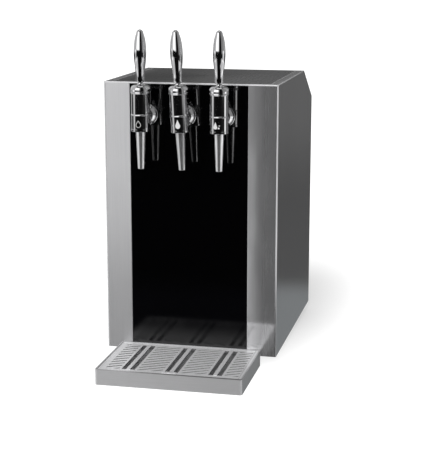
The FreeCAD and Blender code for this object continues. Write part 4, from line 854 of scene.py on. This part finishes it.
def side_skin(name, side):
    """A side panel: sheet, turned roof edges and folded front edge; side is -1 or 1."""
    s = sizes()
    outer = SIDE_HIGH.x
    hem = outer - s.hem_width / MM
    front = SIDE_LOW.y
    slope_foot = REAR_HIGH.z + s.sheet_wall / MM
    square_to_slope = Vector((0, SIDE_HIGH.z - slope_foot, SIDE_HIGH.y - SLOPE_LOW.y)).normalized()

    def unwanted(at, normal):
        inner_front = (normal.y < -0.9 or (normal.z > 0.9 and at.y < TRIM_HIGH.y)) and at.x < hem
        return normal.x < -0.9 or normal.z < -0.9 or normal.y > 0.9 or inner_front

    def outer_fold(a, b):
        top = min(a.z, b.z) > slope_foot - 1 and not near(a.y, b.y, 1)
        return both(a.x, b.x, outer) and (top or both(a.y, b.y, front))

    piece = block(name, (outer - s.roof_flange / MM, front, SIDE_LOW.z), SIDE_HIGH)
    with edited(piece):
        split((outer, SLOPE_LOW.y, SIDE_HIGH.z), square_to_slope, use_fill=True, clear_outer=True)
        split((0, TRIM_HIGH.y, 0), (0, 1, 0))
        split((hem, 0, 0), (1, 0, 0))
        opened(piece, unwanted)
        pick(piece, "EDGE", lambda a, b: both(a.x, b.x, hem) and both(a.y, b.y, front))
        push(0, s.hem_depth / MM, 0)
        rounded(piece, s.fold_radius, 4, outer_fold)
        pick_all()
        bpy.ops.mesh.remove_doubles(threshold=0.00001)
    walled(piece, s.sheet_wall)
    if side < 0:
        take(piece)
        bpy.ops.transform.mirror(constraint_axis=(True, False, False), center_override=(0, 0, 0))
        with edited(settle(piece)):
            face_out()
    return piece


def vents(low, high, count, axis):
    """Cutters for slots with round ends: the first between two corners, the others in a row along an axis."""
    first = block("vent", low, high)
    with edited(first):
        radius = 0.49 * (high[axis] - low[axis]) * MM
        rounded(first, radius, 5, lambda a, b: near(a.x, b.x) and near(a[axis], b[axis]))
    step = Vector((0, 0, 0))
    step[axis] = sizes().vent_pitch / MM
    return [first] + [copied(first, *(step * row)) for row in range(1, count)]


class DISPENSER_OT_skins(bpy.types.Operator):
    """Model the side panels and the two roof covers"""

    bl_idname = "dispenser.skins"
    bl_label = "Side panels and roof"

    def execute(self, context):
        s = sizes()
        for name, side in (("left", -1), ("right", 1)):
            finished(side_skin(f"side_{name}", side), "steel_side", "stainless", f"side_panel_{name}")
        roof = softened(block("roof_sheet", ROOF_LOW, ROOF_HIGH), s.edge_break)
        finished(roof, "steel_roof", "stainless", "roof_cover")
        slope = block("slope_sheet", (*SLOPE_LOW.xy, ROOF_LOW.z), (*SLOPE_HIGH.xy, ROOF_HIGH.z))
        with edited(slope):
            pick(slope, "VERT", lambda at: near(at.y, SLOPE_HIGH.y))
            bpy.ops.transform.translate(value=metres(0, 0, SLOPE_LOW.z - ROOF_LOW.z))
        first = (SLOPE_LOW.y + REAR_HIGH.y) / 2 - 2.5 * s.vent_pitch / MM
        low = (-SLOPE_VENT, first, SLOPE_LOW.z - 2)
        high = (SLOPE_VENT, first + s.vent_height / MM, ROOF_HIGH.z + 2)
        bored(slope, *vents(low, high, 6, 1))
        finished(softened(slope, s.burr, 1), "steel_roof", "stainless", "rear_slope_cover")
        return {"FINISHED"}


# ---- taps


def arc(middle, height, radius, start, end, steps):
    """Profile steps along an arc about a point; angles from the radius, upwards, in degrees."""
    turns = [math.radians(start + (end - start) * step / steps) for step in range(steps + 1)]
    return [(middle + radius * math.cos(turn), height + radius * math.sin(turn)) for turn in turns]


def handle_profile(foot, tip):
    """The spindle handle from foot to tip: a smooth curve through its stations, closed by a dome."""
    stations = [(0.0, 7.1), (0.1, 7.3), (0.26, 8.3), (0.42, 9.8), (0.56, 10.4), (0.7, 9.9)]
    stations += [(0.84, 8.2), (0.93, 5.9)]
    steps = []
    for index, ((start, first), (end, last)) in enumerate(zip(stations, stations[1:])):
        before = stations[max(0, index - 1)]
        after = stations[min(len(stations) - 1, index + 2)]
        slope_in = (last - before[1]) / (end - before[0])
        slope_out = (after[1] - first) / (after[0] - start)
        span = end - start
        for t in (0.0, 0.25, 0.5, 0.75):
            radius = (2 * t**3 - 3 * t**2 + 1) * first + (3 * t**2 - 2 * t**3) * last
            radius += ((t**3 - 2 * t**2 + t) * slope_in + (t**3 - t**2) * slope_out) * span
            steps.append((radius, foot + (start + t * span) * (tip - foot)))
    cap, radius = stations[-1]
    cap = foot + cap * (tip - foot)
    turns = [math.pi / 16 * step for step in range(8)]
    steps += [(radius * math.cos(turn), cap + (tip - cap) * math.sin(turn)) for turn in turns]
    return steps + [(0.25, tip)]


# Profiles of a tap's body about its axis, and of the neck behind it.
LIP = ((8.6, -22.2), (9.2, -22.5), (15.5, -22.5), (16, -22), (16, -19.2), (15.5, -18.5))
BELT = ((15.5, 3.7), (15.9, 3.9), (16.25, 4.3), (16.25, 4.8), (16.05, 5.7), (15.5, 6.2))
BARREL = (*LIP, *BELT, (15.5, 39.5), (15.1, 40.2))
BOSS = ((12, 8), (12, 15.6), (11.4, 16.2), (11.4, 17))


def bonnet_profile():
    """Profile of the bonnet: rounded ring, groove and dome with a cupped mouth."""
    ring = [(15.2, 40.3), (16.1, 40.3), (16.5, 40.7), (16.5, 41.6), (16.3, 42.5), (15.8, 42.9), (16.1, 43.2)]
    mouth = [(8.9, 54.2), (8.3, 53.9), (7.4, 53.2), (7.0, 52.2)]
    return ring + [(16.4, 43.6)] + arc(8.4, 46.4, 7.9, 0, 82, 12) + mouth


def lever_profile():
    """Profile of the lever: ball, waisted neck and spindle handle."""
    neck = [(4.4, 56.4), (4.2, 57.2), (4.6, 58.1), (6.3, 58.6), (7.0, 58.9)]
    return arc(0, 50.4, 6.9, -80, 50, 12) + neck + handle_profile(59.0, 144.0)[1:]


def spout_profile():
    """Profile of the tapered spout, hollow at its mouth, with its collar under the body."""
    mouth = [(3.9, -81), (4.1, -85.0), (4.5, -85.5), (5.3, -85.5), (5.65, -85.1)]
    taper = [(5.65 + 2.75 * step / 6, -85.1 + 61.4 * step / 6) for step in range(1, 7)]
    return mouth + taper + [(8.5, -23.2), (8.5, -22.6)]


def shank_profile(face):
    """Profile of the shank: neck flared to a collar, rosette against the glass and threaded tail."""
    base = face - 5
    neck = [(11.2, 17), (11.4, 17.4), (11, 18.6), (10.4, base - 9.5), (10.8, base - 7.5), (11.6, base - 6.2)]
    flare = [(13.4, base - 4.2), (14.9, base - 2.3), (15.3, base - 1.4), (15.3, base - 0.4), (16.9, base)]
    rosette = [(17.6, base + 0.6), (18, base + 2), (18, face - 0.6), (17.8, face)]
    return neck + flare + rosette + [(10, face), (10, SHANK_LENGTH)]


def flat_ring(radius, place, corners=24):
    """A flat filled ring of corners that faces the front, about a place in millimetres."""
    clear_selection()
    bpy.ops.mesh.primitive_circle_add(
        vertices=corners,
        radius=radius * MM,
        fill_type="NGON",
        location=metres(*place),
        rotation=(math.radians(90), 0, 0),
    )
    return settle(named("sign"))


def hollowed(piece, line):
    """Leaves only the rim of a flat filled outline."""
    with edited(piece):
        pick_all()
        bpy.ops.mesh.inset(thickness=line * MM)
        bpy.ops.mesh.delete(type="FACE")
    return piece


def drop(width, tip, place):
    """A filled drop: a ring whose upper corners are merged and drawn up to a point."""
    radius = width / 2
    piece = flat_ring(radius, place)
    with edited(piece):
        pick(piece, "VERT", lambda at: at.z - place[2] > radius * math.cos(math.radians(52)))
        bpy.ops.mesh.merge(type="CENTER")
        bpy.ops.transform.translate(value=metres(0, 0, tip - radius * 0.87))
    return piece


def laid_on(piece, target, forward=True):
    """Wraps a flat sign, as a film, on the side of a piece that it faces."""
    with edited(piece):
        pick_all()
        bpy.ops.mesh.quads_convert_to_tris()
        bpy.ops.mesh.subdivide(number_cuts=2)
    modified(
        piece,
        "SHRINKWRAP",
        wrap_method="PROJECT",
        use_project_y=True,
        use_positive_direction=forward,
        use_negative_direction=not forward,
        target=target,
        offset=0.05 * MM,
    )
    modified(piece, "SOLIDIFY", thickness=FILM * MM, offset=0)
    with edited(piece):
        face_out()
    return piece


def tap_sign(tap):
    """A tap's drop sign: outlined, filled, or filled with bubbles beside it."""
    if tap == "left":
        pieces = [hollowed(drop(8.6, 7.6, (0, 0, -1.5)), 0.7)]
    elif tap == "centre":
        pieces = [drop(8.4, 10.6, (0, 0, -1.5))]
    else:
        bubbles = [flat_ring(1.5, (2.6, 0, -3.0), 16), flat_ring(1.0, (3.6, 0, 1.0), 16)]
        pieces = [drop(6.6, 8.6, (-3.0, 0, -1.5)), *bubbles]
    sign = joined(f"{tap}_tap_sign", pieces)
    sign.location = metres(0, -30, -9.5)
    return settle(sign)


def make_tap(tap):
    """All pieces of one tap, on its own axis."""
    node = f"tap_{tap}_shank"
    home = middle_of(node)
    home.y = edges_of(node)[1].y - SHANK_LENGTH
    lean = CENTRE_LEAN if tap == "centre" else 0.0

    def part(name, profile, axis="Z", faces=None):
        return stood(turned(name, profile, faces), home, axis, lean)

    body = joined(f"{tap}_tap_body", [part("barrel", BARREL), part("boss", BOSS, "Y", 48)])
    finished(body, "chrome", "chrome", f"tap_{tap}_body")
    for kind, profile, axis, finish, rides in (
        ("bonnet", bonnet_profile(), "Z", "chrome", CABINET),
        ("spout", spout_profile(), "Z", "satin_chrome", CABINET),
        ("shank", shank_profile(PANEL_LOW.y - home.y), "Y", "chrome", CABINET),
        ("lever", lever_profile(), "Z", "chrome", f"lever_{tap}"),
    ):
        finished(part(f"{tap}_tap_{kind}", profile, axis), finish, "chrome", f"tap_{tap}_{kind}", body=rides)
    finished(laid_on(stood(tap_sign(tap), home, "Z", lean), body), "marking", "chrome")


class DISPENSER_OT_taps(bpy.types.Operator):
    """Model the three lever taps with their signs"""

    bl_idname = "dispenser.taps"
    bl_label = "Taps"

    def execute(self, context):
        for tap in TAPS:
            make_tap(tap)
        return {"FINISHED"}


# ---- tray


class DISPENSER_OT_tray(bpy.types.Operator):
    """Model the drip tray with its folded rim and ledge"""

    bl_idname = "dispenser.tray"
    bl_label = "Drip tray"

    def execute(self, context):
        s = sizes()
        seat = GRILLE_LOW.z + (s.grille_skirt - s.grille_wall) / MM
        piece = block("tray", TRAY_LOW, TRAY_HIGH)
        with edited(piece):
            pick(piece, "FACE", lambda at, normal: normal.z > 0.9)
            sunk(s.tray_rim, seat - TRAY_HIGH.z)
            sunk(s.tray_ledge, s.sheet_wall / MM - seat)
            for inset, radius, segments in (
                (0, s.tray_corner, 8),
                (s.tray_rim, s.tray_corner / 2, 6),
                (s.tray_rim + s.tray_ledge, s.tray_corner, 6),
            ):
                rounded(piece, radius, segments, upright(TRAY_HIGH.x - inset / MM))
        softened(piece, 0.6 * MM, 3)
        finished(piece, "steel_tray", "stainless", "drip_tray", body="drip_tray")
        return {"FINISHED"}


def drain_field(start, end, front, rear, top):
    """The slanted slot cutters of one field of the grille, from start to end in X."""
    s = sizes()
    width = s.slot_width / MM
    pitch = s.slot_pitch / MM / math.cos(s.slot_slant)
    span = end - start
    run = span / math.cos(s.slot_slant) + 2 * width
    x = (start + end) / 2
    y = (front + rear) / 2
    first = block("slot", (-run / 2, -width / 2, top - 9), (run / 2, width / 2, top + 3))
    rotated(first, z=math.degrees(s.slot_slant))
    reach = (rear - front) / 2 + span / 2 * math.tan(s.slot_slant)
    slots = [copied(first, x, y, 0)]
    for row in range(1, int(reach / pitch) + 1):
        slots += [copied(first, x, y + side * row * pitch, 0) for side in (-1, 1)]
    remove(first)
    field = joined("field", slots)
    return combined(field, "INTERSECT", block("edge", (start, front, top - 8), (end, rear, top + 2)))


class DISPENSER_OT_grille(bpy.types.Operator):
    """Model the lift-out grille with its slanted slots, raised bars and finger tab"""

    bl_idname = "dispenser.grille"
    bl_label = "Drip grille"

    def execute(self, context):
        s = sizes()
        low, high = GRILLE_LOW, GRILLE_HIGH
        wall = s.grille_wall / MM
        top = low.z + s.grille_skirt / MM
        plate = block("grille", (low.x, low.y, top - wall), (high.x, high.y, top))
        with edited(plate):
            pick(plate, "FACE", lambda at, normal: normal.z < -0.9)
            sunk(s.tray_ledge + s.grille_gap, wall - s.grille_skirt / MM)
            sunk(s.grille_wall, s.grille_skirt / MM - wall)
            rounded(plate, s.tray_corner / 2, 5, upright(high.x))
        front, rear = low.y + SLOT_MARGIN, high.y - SLOT_MARGIN
        half = s.bar_width / 2 / MM
        edge = half + s.channel_width / MM
        tools = []
        for bar in BAR_MIDDLES:
            for start, end in ((bar - edge, bar - half), (bar + half, bar + edge)):
                tools.append(block("channel", (start, front, top - 8), (end, rear, top + 2)))
        edge += BRIDGE
        starts = (low.x + SLOT_MARGIN + 0.5, *[bar + edge for bar in BAR_MIDDLES])
        ends = (*[bar - edge for bar in BAR_MIDDLES], high.x - 6)
        tools += [drain_field(start, end, front, rear, top) for start, end in zip(starts, ends)]
        bored(plate, *tools)
        raised = [((bar - half, front - 1), (bar + half, rear + 1)) for bar in BAR_MIDDLES]
        raised.append(((-11.5, low.y + 4), (11.5, low.y + 12)))
        pieces = [block("raised", (*first, top - wall), (*last, high.z)) for first, last in raised]
        piece = joined("grille", [plate] + [softened(piece, 0.5 * MM) for piece in pieces])
        finished(piece, "steel_grille", "stainless", "drip_grille", body="drip_grille")
        return {"FINISHED"}


# ---- rear and base


def opening(low, high):
    """A cutter for a fitting's rectangular opening in the rear panel."""
    first = (low.x + FLANGE_LIP, REAR_LOW.y - 5, low.z + FLANGE_LIP)
    return block("opening", first, (high.x - FLANGE_LIP, REAR_HIGH.y + 5, high.z - FLANGE_LIP))


def screw():
    """A pan-head screw with a cross recess, along Z."""
    profile = [(1.4, -8), (2, -7), (2, 0), (3.6, 0), (3.8, 0.3), (3.8, 0.9), (3.5, 1.5), (2.7, 1.95), (1.2, 2.2)]
    piece = bored(turned("screw", profile, 28), block("cross", (-2.3, -0.35, 1.0), (2.3, 0.35, 3)))
    return bored(piece, block("cross", (-0.35, -2.3, 0.95), (0.35, 2.3, 3)))


class DISPENSER_OT_rear(bpy.types.Operator):
    """Model the rear panel with its vents and openings, and the screws that hold it"""

    bl_idname = "dispenser.rear"
    bl_label = "Rear panel"

    def execute(self, context):
        s = sizes()
        back = REAR_HIGH.y
        fan = middle_of("fan_motor")
        knob = middle_of("thermostat_knob")
        low, high = edges_of("inlet_fittings")
        corner = s.hex_across / MM / math.sqrt(3)
        level = (low.z + high.z) / 2
        base = fan.z - 4.5 * s.vent_pitch / MM
        half = s.vent_height / 2 / MM
        start, end = (fan.x - REAR_VENT, REAR_LOW.y - 3, base - half), (fan.x + REAR_VENT, back + 3, base + half)
        tools = vents(start, end, 10, 2)
        tools += [opening(SWITCH_LOW, SWITCH_HIGH), opening(INLET_LOW, INLET_HIGH)]
        first, last = edges_of("cover_screws")
        columns = (first.x + SCREW_HEAD, last.x - SCREW_HEAD)
        rows = (first.z + SCREW_HEAD, (first.z + last.z) / 2, last.z - SCREW_HEAD)
        heads = [(x, back, z) for x in columns for z in rows]
        bores = [(KNOB_BORE, (knob.x, back, knob.z)), (WATER_BORE, (low.x + corner, back, level))]
        bores += [(GAS_BORE, (high.x - corner, back, level)), *[(SCREW_BORE, place) for place in heads]]
        tools += [hole(radius, 6, place) for radius, place in bores]
        panel = softened(bored(block("rear_sheet", REAR_LOW, REAR_HIGH), *tools), s.burr, 1)
        finished(panel, "steel_side", "stainless", "rear_panel")
        pattern = screw()
        screws = [stood(copied(pattern, 0, 0, 0), place, "Y") for place in heads]
        remove(pattern)
        finished(joined("panel_screws", screws), "chrome", "chrome", "cover_screws")
        return {"FINISHED"}


def make_knob():
    """The fluted knob with its pointer ridge and line."""
    place = middle_of("thermostat_knob")
    place.y = edges_of("thermostat_knob")[0].y
    skirt = [(3.2, 7), (3.2, 0), (13.4, 0), (14, 0.6), (13.9, 2.4), (13.5, 2.8)]
    piece = turned("knob", skirt + [(12.5, 11.2), (11.6, 12.6), (10.6, 13)], 72)
    flutes = []
    for degrees in range(10, 360, 20):
        turn = math.radians(degrees)
        flute = turned("flute", ((1.3, 3.4), (1.3, 14)), 10)
        flutes.append(stood(flute, (14.2 * math.cos(turn), 14.2 * math.sin(turn), 0)))
    softened(bored(piece, *flutes), 0.2 * MM, 1)
    ridge = softened(block("pointer", (-1.5, -11, 12.6), (1.5, 0, 16)), 0.4 * MM)
    line = block("pointer_line", (-0.4, -10.8, 15.9), (0.4, -4, 16.02))
    knob = stood(joined("knob", [piece, ridge]), place, "Y")
    finished(knob, "black_plastic", "black_plastic", "thermostat_knob", body="thermostat_knob")
    finished(stood(line, place, "Y"), "marking", "black_plastic", body="thermostat_knob")


def make_scale():
    """The ticks round the knob, on the rear panel."""
    middle = middle_of("thermostat_knob")
    ticks = []
    for step in range(9):
        end = 19.2 if step % 4 else 20.5
        ticks.append(rotated(block("tick", (17, -0.35, -0.02), (end, 0.35, 0.1)), z=30 - 30 * step))
    piece = stood(joined("knob_scale", ticks), (middle.x, REAR_HIGH.y, middle.z), "Y")
    finished(piece, "print_black", "black_plastic")


def housing(name, low, high):
    """A fitting's flange on the rear panel, with its body that goes through the opening."""
    flange = block(name, (low.x, REAR_HIGH.y, low.z), high)
    first = (low.x + FLANGE_LIP, low.y, low.z + FLANGE_LIP)
    last = (high.x - FLANGE_LIP, REAR_HIGH.y + 1, high.z - FLANGE_LIP)
    return combined(flange, "UNION", block("core", first, last))


def crossbar(name, radius, half, faces):
    """A round bar about the X axis."""
    return rotated(turned(name, ((radius, -half), (radius, half)), faces), y=90)


def make_switch():
    """The switch frame with its pin, and the rocker with its marks."""
    low, high = SWITCH_LOW, SWITCH_HIGH
    lip = housing("switch_housing", low, high)
    first = (low.x + SWITCH_WALL, REAR_HIGH.y - POCKET_DEPTH, low.z + SWITCH_WALL)
    last = (high.x - SWITCH_WALL, high.y + 2, high.z - SWITCH_WALL)
    softened(bored(lip, block("pocket", first, last)), 0.4 * MM)
    pivot = (low + high) / 2
    pivot.y = REAR_HIGH.y - 3
    frame_and_pin = joined("switch_housing", [lip, stood(crossbar("pin", 1.5, 13, 24), pivot)])
    finished(frame_and_pin, "black_plastic", "black_plastic", "switch_frame")
    half = edges_of("power_rocker")[1].x - pivot.x
    rocker = crossbar("rocker", 9, half, 64)
    combined(rocker, "INTERSECT", block("space", (-half - 1, -6, -6), (half + 1, 10, 6)))
    bored(rocker, crossbar("bore", 1.55, half + 1, 24))
    stood(rotated(softened(rocker, 0.35 * MM), x=ROCKER_REST), pivot)
    line = block("line", (-0.35, 20, 1.5), (0.35, 21, 4.7))
    with edited(line):
        opened(line, lambda at, normal: normal.y < 0.5)
    ring = hollowed(flat_ring(1.8, (0, 21, -3.1)), 0.6)
    marks = laid_on(stood(joined("rocker_marks", [line, ring]), pivot), rocker, forward=False)
    finished(rocker, "black_plastic", "black_plastic", "power_rocker", body="power_rocker")
    finished(marks, "marking", "black_plastic", body="power_rocker")


def make_mains_inlet():
    """The mains inlet: flange, body, recess with two chamfered corners and three blades."""
    x, _, z = (INLET_LOW + INLET_HIGH) / 2
    back = INLET_HIGH.y
    floor = back - RECESS_DEPTH
    recess = block("recess", (x - 12, floor, z - 8), (x + 12, back + 2, z + 8))
    with edited(recess):
        rounded(recess, 3.5 * MM, 1, lambda a, b: near(a.x, b.x) and near(a.z, b.z) and a.z > z)
    body = softened(bored(housing("inlet_body", INLET_LOW, INLET_HIGH), recess), 0.4 * MM)
    finished(body, "black_plastic", "black_plastic", "mains_inlet")
    blades = []
    for across, up in ((x - BLADE_GAP, z), (x, z + 3), (x + BLADE_GAP, z)):
        blade = block("blade", (across - 1, floor - 0.5, up - 2), (across + 1, floor + 11, up + 2))
        blades.append(softened(blade, 0.3 * MM))
    finished(joined("inlet_blades", blades), "brass", "brass")


class DISPENSER_OT_controls(bpy.types.Operator):
    """Model the thermostat knob with its scale, the rocker switch and the mains inlet"""

    bl_idname = "dispenser.controls"
    bl_label = "Rear controls"

    def execute(self, context):
        make_knob()
        make_scale()
        make_switch()
        make_mains_inlet()
        return {"FINISHED"}


def threaded(radius, low, high, pitch=1.5, depth=0.7):
    """Profile steps of a thread as a row of ridges."""
    steps = []
    height = low
    while height + pitch <= high:
        steps += [(radius - depth, height), (radius, height + pitch * 0.45), (radius, height + pitch * 0.6)]
        steps.append((radius - depth, height + pitch))
        height += pitch
    return steps


def hexagon(corner):
    """A chamfered hexagon on the panel, with a bore."""
    clear_selection()
    bpy.ops.mesh.primitive_cylinder_add(
        vertices=6,
        radius=corner * MM,
        depth=HEXAGON_HEIGHT * MM,
        location=metres(0, 0, HEXAGON_HEIGHT / 2),
        rotation=(0, 0, math.radians(30)),
    )
    piece = settle(named("hexagon"))
    cone = turned("cone", ((corner + 3, -3), (corner + 3, 4.4), (corner - 1.6, 6.4)), 48)
    return bored(combined(piece, "INTERSECT", cone), turned("bore", ((4, 2), (4, 9)), 32))


class DISPENSER_OT_inlets(bpy.types.Operator):
    """Model the threaded water and gas inlets with their hexagons"""

    bl_idname = "dispenser.inlets"
    bl_label = "Water and gas inlets"

    def execute(self, context):
        low, high = edges_of("inlet_fittings")
        corner = sizes().hex_across / MM / math.sqrt(3)
        reach = high.y - REAR_HIGH.y
        tail = low.y - REAR_HIGH.y
        pieces = []
        for radius, x in ((8.3, low.x + corner), (9.0, high.x - corner)):
            profile = [(4, tail + 15.2), (4, reach - 0.6), (4.6, reach), (radius - 1, reach)]
            shoulder = HEXAGON_HEIGHT + 0.6
            profile += [(r, reach + shoulder - h) for r, h in threaded(radius, shoulder + 0.8, reach - 0.8)]
            barrel = turned("barrel", profile + [(radius, shoulder), (radius, tail)], 48)
            fitting = joined("fitting", [barrel, hexagon(corner)])
            pieces.append(stood(fitting, (x, REAR_HIGH.y, (low.z + high.z) / 2), "Y"))
        finished(joined("inlet_pair", pieces), "brass", "brass", "inlet_fittings", smooth=30)
        return {"FINISHED"}


class DISPENSER_OT_feet(bpy.types.Operator):
    """Model the four rubber feet with their grooves"""

    bl_idname = "dispenser.feet"
    bl_label = "Feet"

    def execute(self, context):
        low, high = edges_of("rubber_feet")
        r = FOOT_RADIUS
        profile = [(9, 0.6), (10, 0), (r - 0.6, 0), (r, 0.6), (r - 0.1, 2.2), (r - 0.8, 2.7), (r - 0.8, 3.7)]
        profile += [(r - 0.4, 4.1), (r - 2.8, high.z - 0.5), (r - 3.2, high.z)]
        pattern = turned("foot", profile, 48)
        feet = [copied(pattern, x, y, 0) for x in (low.x + r, high.x - r) for y in (low.y + r, high.y - r)]
        remove(pattern)
        finished(joined("feet", feet), "rubber", "rubber", "rubber_feet")
        return {"FINISHED"}


# ---- inside and stage

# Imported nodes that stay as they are, under the finish that each is given.
INSIDE = {
    "zinc": ("base_pan", "tap_plate", "machine_shelf", "fan_motor", "pump_cradle", "agitator_motor", "control_box"),
    "rubber": ("compressor_mounts",),
    "chrome": ("tap_nuts",),
    "white_plastic": ("cold_tank", "tank_lid", "agitator_impeller", *[f"tap_{tap}_plunger" for tap in TAPS]),
    "foam": ("tank_foam",),
    "copper": ("evaporator_coil",),
    "steel_pipe": ("product_coils", "feed_pipes"),
    "brass": ("valve_block",),
    "black_paint": ("compressor", "pump"),
    "aluminium": ("condenser",),
    "black_plastic": ("fan_shroud", "fan_rotor", "thermostat"),
    "steel_vessel": ("carbonator",),
}


class DISPENSER_OT_inside(bpy.types.Operator):
    """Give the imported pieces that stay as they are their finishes"""

    bl_idname = "dispenser.inside"
    bl_label = "Inner parts"

    def execute(self, context):
        for finish, nodes in INSIDE.items():
            for node in nodes:
                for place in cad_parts[node].material_slots:
                    place.material = FINISHES[finish]
        return {"FINISHED"}


# The mirrored studio's plain cards, in degrees above the horizon and to the right of the front:
# low edge, high edge and their softness, left edge, right edge and their softness, strength.
CARDS = (
    (-2, 60, 4, -150, -53, 3, 0.5),
    (-2, 60, 4, 58, 150, 6, 0.25),
    (-60, -11.5, 2, -118, -34, 6, 0.62),
    (-16.2, -11.5, 1, 52, 130, 4, 0.68),
    (-62, -19, 3, 40, 130, 6, 1.2),
    (-12, -2, 1.5, -82, -60, 3, 0.6),
)


def make_world():
    """White for the camera, plain light for matt surfaces, and a dark studio with cards for mirrors.

    The narrow strip on the right counts more in a reflection of a reflection, so that the taps stand out in
    the black glass without glaring themselves.
    """
    world = bpy.data.worlds.new("studio")
    bpy.context.scene.world = world
    world.use_nodes = True
    g = Graph(world.node_tree)
    direction = g.add("TexCoord")
    x, back, up = (g.axis(direction, letter) for letter in "XYZ")
    turn = x.maths("ARCTAN2", x, back * -1) * (180 / math.pi)
    rise = up.maths("ARCSINE", up) * (180 / math.pi)
    cards = g.between(rise, 66, 78) * 0.9
    cards += g.band(rise, 0.5, 46, 2.5) * g.between(turn, -52, -50) * (1 - g.between(turn, -8, 18)) * 1.5
    for low, high, soft, left, right, fade, strength in CARDS:
        cards += g.band(rise, low, high, soft) * g.band(turn, left, right, fade) * strength
    seen_again = g.between(g.ray("Ray Depth"), 2.2, 2.8, 1.0, 4.6)
    cards += g.band(rise, -12, -2, 1.5) * g.band(turn, 82, 103, 1.5) * seen_again
    ground_behind = 1 - g.between(rise, -15.0, -14.0)
    wall_behind = g.between(rise, -11.0, -6.5, 0.086, 0.143) + ground_behind * 0.17
    dim = g.between(abs(turn), 15, 70, 0.004, 0.014)
    glossy = cards + g.between(back, 0.0, 0.6) * wall_behind + dim
    tint = g.mixed(g.between(back, 0.3, 0.6) * ground_behind, (1, 1, 1), (0.95, 1.0, 1.02))
    ambient = g.add("Background", {"Color": opaque(1), "Strength": 0.55})
    studio = g.add("Background", {"Color": tint, "Strength": glossy})
    white = g.add("Background", {"Color": opaque(1), "Strength": 1.0})
    seen = g.ray("Is Camera Ray").highest(g.ray("Is Transmission Ray"))
    g.add("OutputWorld", {"Surface": g.blend(seen, g.blend(g.ray("Is Glossy Ray"), ambient, studio), white)})


def fading(g, spot):
    """The floor's look: matt, and for the camera white away from the object."""
    lit = g.add("BsdfDiffuse", {"Color": opaque(colours().floor)})
    glow = g.add("Emission", {"Color": opaque(1), "Strength": 1.31})
    offset = g.add("Mapping", {0: spot, "Location": (-0.05, -0.13, 0.0), "Scale": (1.0, 0.42, 1.0)})
    distance = g.add("VectorMath", {0: offset}, "Value", operation="LENGTH")
    return g.blend(g.between(distance, 0.05, 0.32, 0.3, 1.0) * g.ray("Is Camera Ray"), lit, glow)


def make_floor():
    """A plain pale floor that keeps the shadow and fades to white away from the object."""
    clear_selection()
    bpy.ops.mesh.primitive_plane_add(size=40, location=(0, 0, 0))
    piece = named("floor")
    piece.data.materials.append(material("floor", fading))
    piece.visible_glossy = False


def make_lamps():
    """One broad key light from the front left."""
    clear_selection()
    bpy.ops.object.light_add(type="SUN")
    sun = bpy.context.object
    sun.name = "key"
    sun.data.energy = 1.9
    sun.data.angle = math.radians(40)
    toward = Vector((-0.2, -0.74, 0.64)).normalized()
    sun.rotation_euler = toward.to_track_quat("Z", "Y").to_euler()
    sun.visible_glossy = False


def make_camera():
    """The camera at the front right, a little above the object."""
    clear_selection()
    target = Vector((0.0368, -0.1185, 0.226))
    back = Vector((0.2143, -0.9535, 0.2120)).normalized()
    bpy.ops.object.camera_add(location=target + back * 2.1906, rotation=back.to_track_quat("Z", "Y").to_euler())
    camera = bpy.context.object
    camera.name = "camera"
    camera.data.lens = 98.76
    camera.data.sensor_width = 36
    camera.data.sensor_fit = "AUTO"
    bpy.context.scene.camera = camera


class DISPENSER_OT_stage(bpy.types.Operator):
    """Set up the floor, the light, the world and the camera"""

    bl_idname = "dispenser.stage"
    bl_label = "Stage"

    def execute(self, context):
        make_world()
        make_floor()
        make_lamps()
        make_camera()
        context.scene.view_settings.view_transform = "Standard"
        return {"FINISHED"}


class DISPENSER_OT_finishes(bpy.types.Operator):
    """Make the materials that the pieces share"""

    bl_idname = "dispenser.finishes"
    bl_label = "Finishes"

    def execute(self, context):
        make_finishes()
        return {"FINISHED"}


STEPS = (
    DISPENSER_OT_stage,
    DISPENSER_OT_finishes,
    DISPENSER_OT_inside,
    DISPENSER_OT_front,
    DISPENSER_OT_skins,
    DISPENSER_OT_taps,
    DISPENSER_OT_tray,
    DISPENSER_OT_grille,
    DISPENSER_OT_rear,
    DISPENSER_OT_controls,
    DISPENSER_OT_inlets,
    DISPENSER_OT_feet,
)


class DISPENSER_PT_panel(bpy.types.Panel):
    """Lists the steps of the dispenser"""

    bl_idname = "DISPENSER_PT_panel"
    bl_label = "Drinks dispenser"
    bl_space_type = "VIEW_3D"
    bl_region_type = "UI"
    bl_category = "Dispenser"

    def draw(self, context):
        for step in STEPS:
            self.layout.operator(step.bl_idname)
        for group in (context.scene.dispenser_sizes, context.scene.dispenser_colours):
            for name in group.__annotations__:
                self.layout.prop(group, name)


CLASSES = (DispenserSizes, DispenserColours, *STEPS, DISPENSER_PT_panel)


def register():
    """Registers the classes and the scene's two groups of settings."""
    for item in CLASSES:
        bpy.utils.register_class(item)
    bpy.types.Scene.dispenser_sizes = PointerProperty(type=DispenserSizes)
    bpy.types.Scene.dispenser_colours = PointerProperty(type=DispenserColours)


def unregister():
    """Takes the settings and the classes away again."""
    del bpy.types.Scene.dispenser_colours
    del bpy.types.Scene.dispenser_sizes
    for item in reversed(CLASSES):
        bpy.utils.unregister_class(item)


def main():
    """Builds everything in order."""
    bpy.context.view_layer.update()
    register()
    for step in STEPS:
        group, name = step.bl_idname.split(".")
        getattr(getattr(bpy.ops, group), name)()
    clear_selection()


if __name__ == "__main__":
    main()
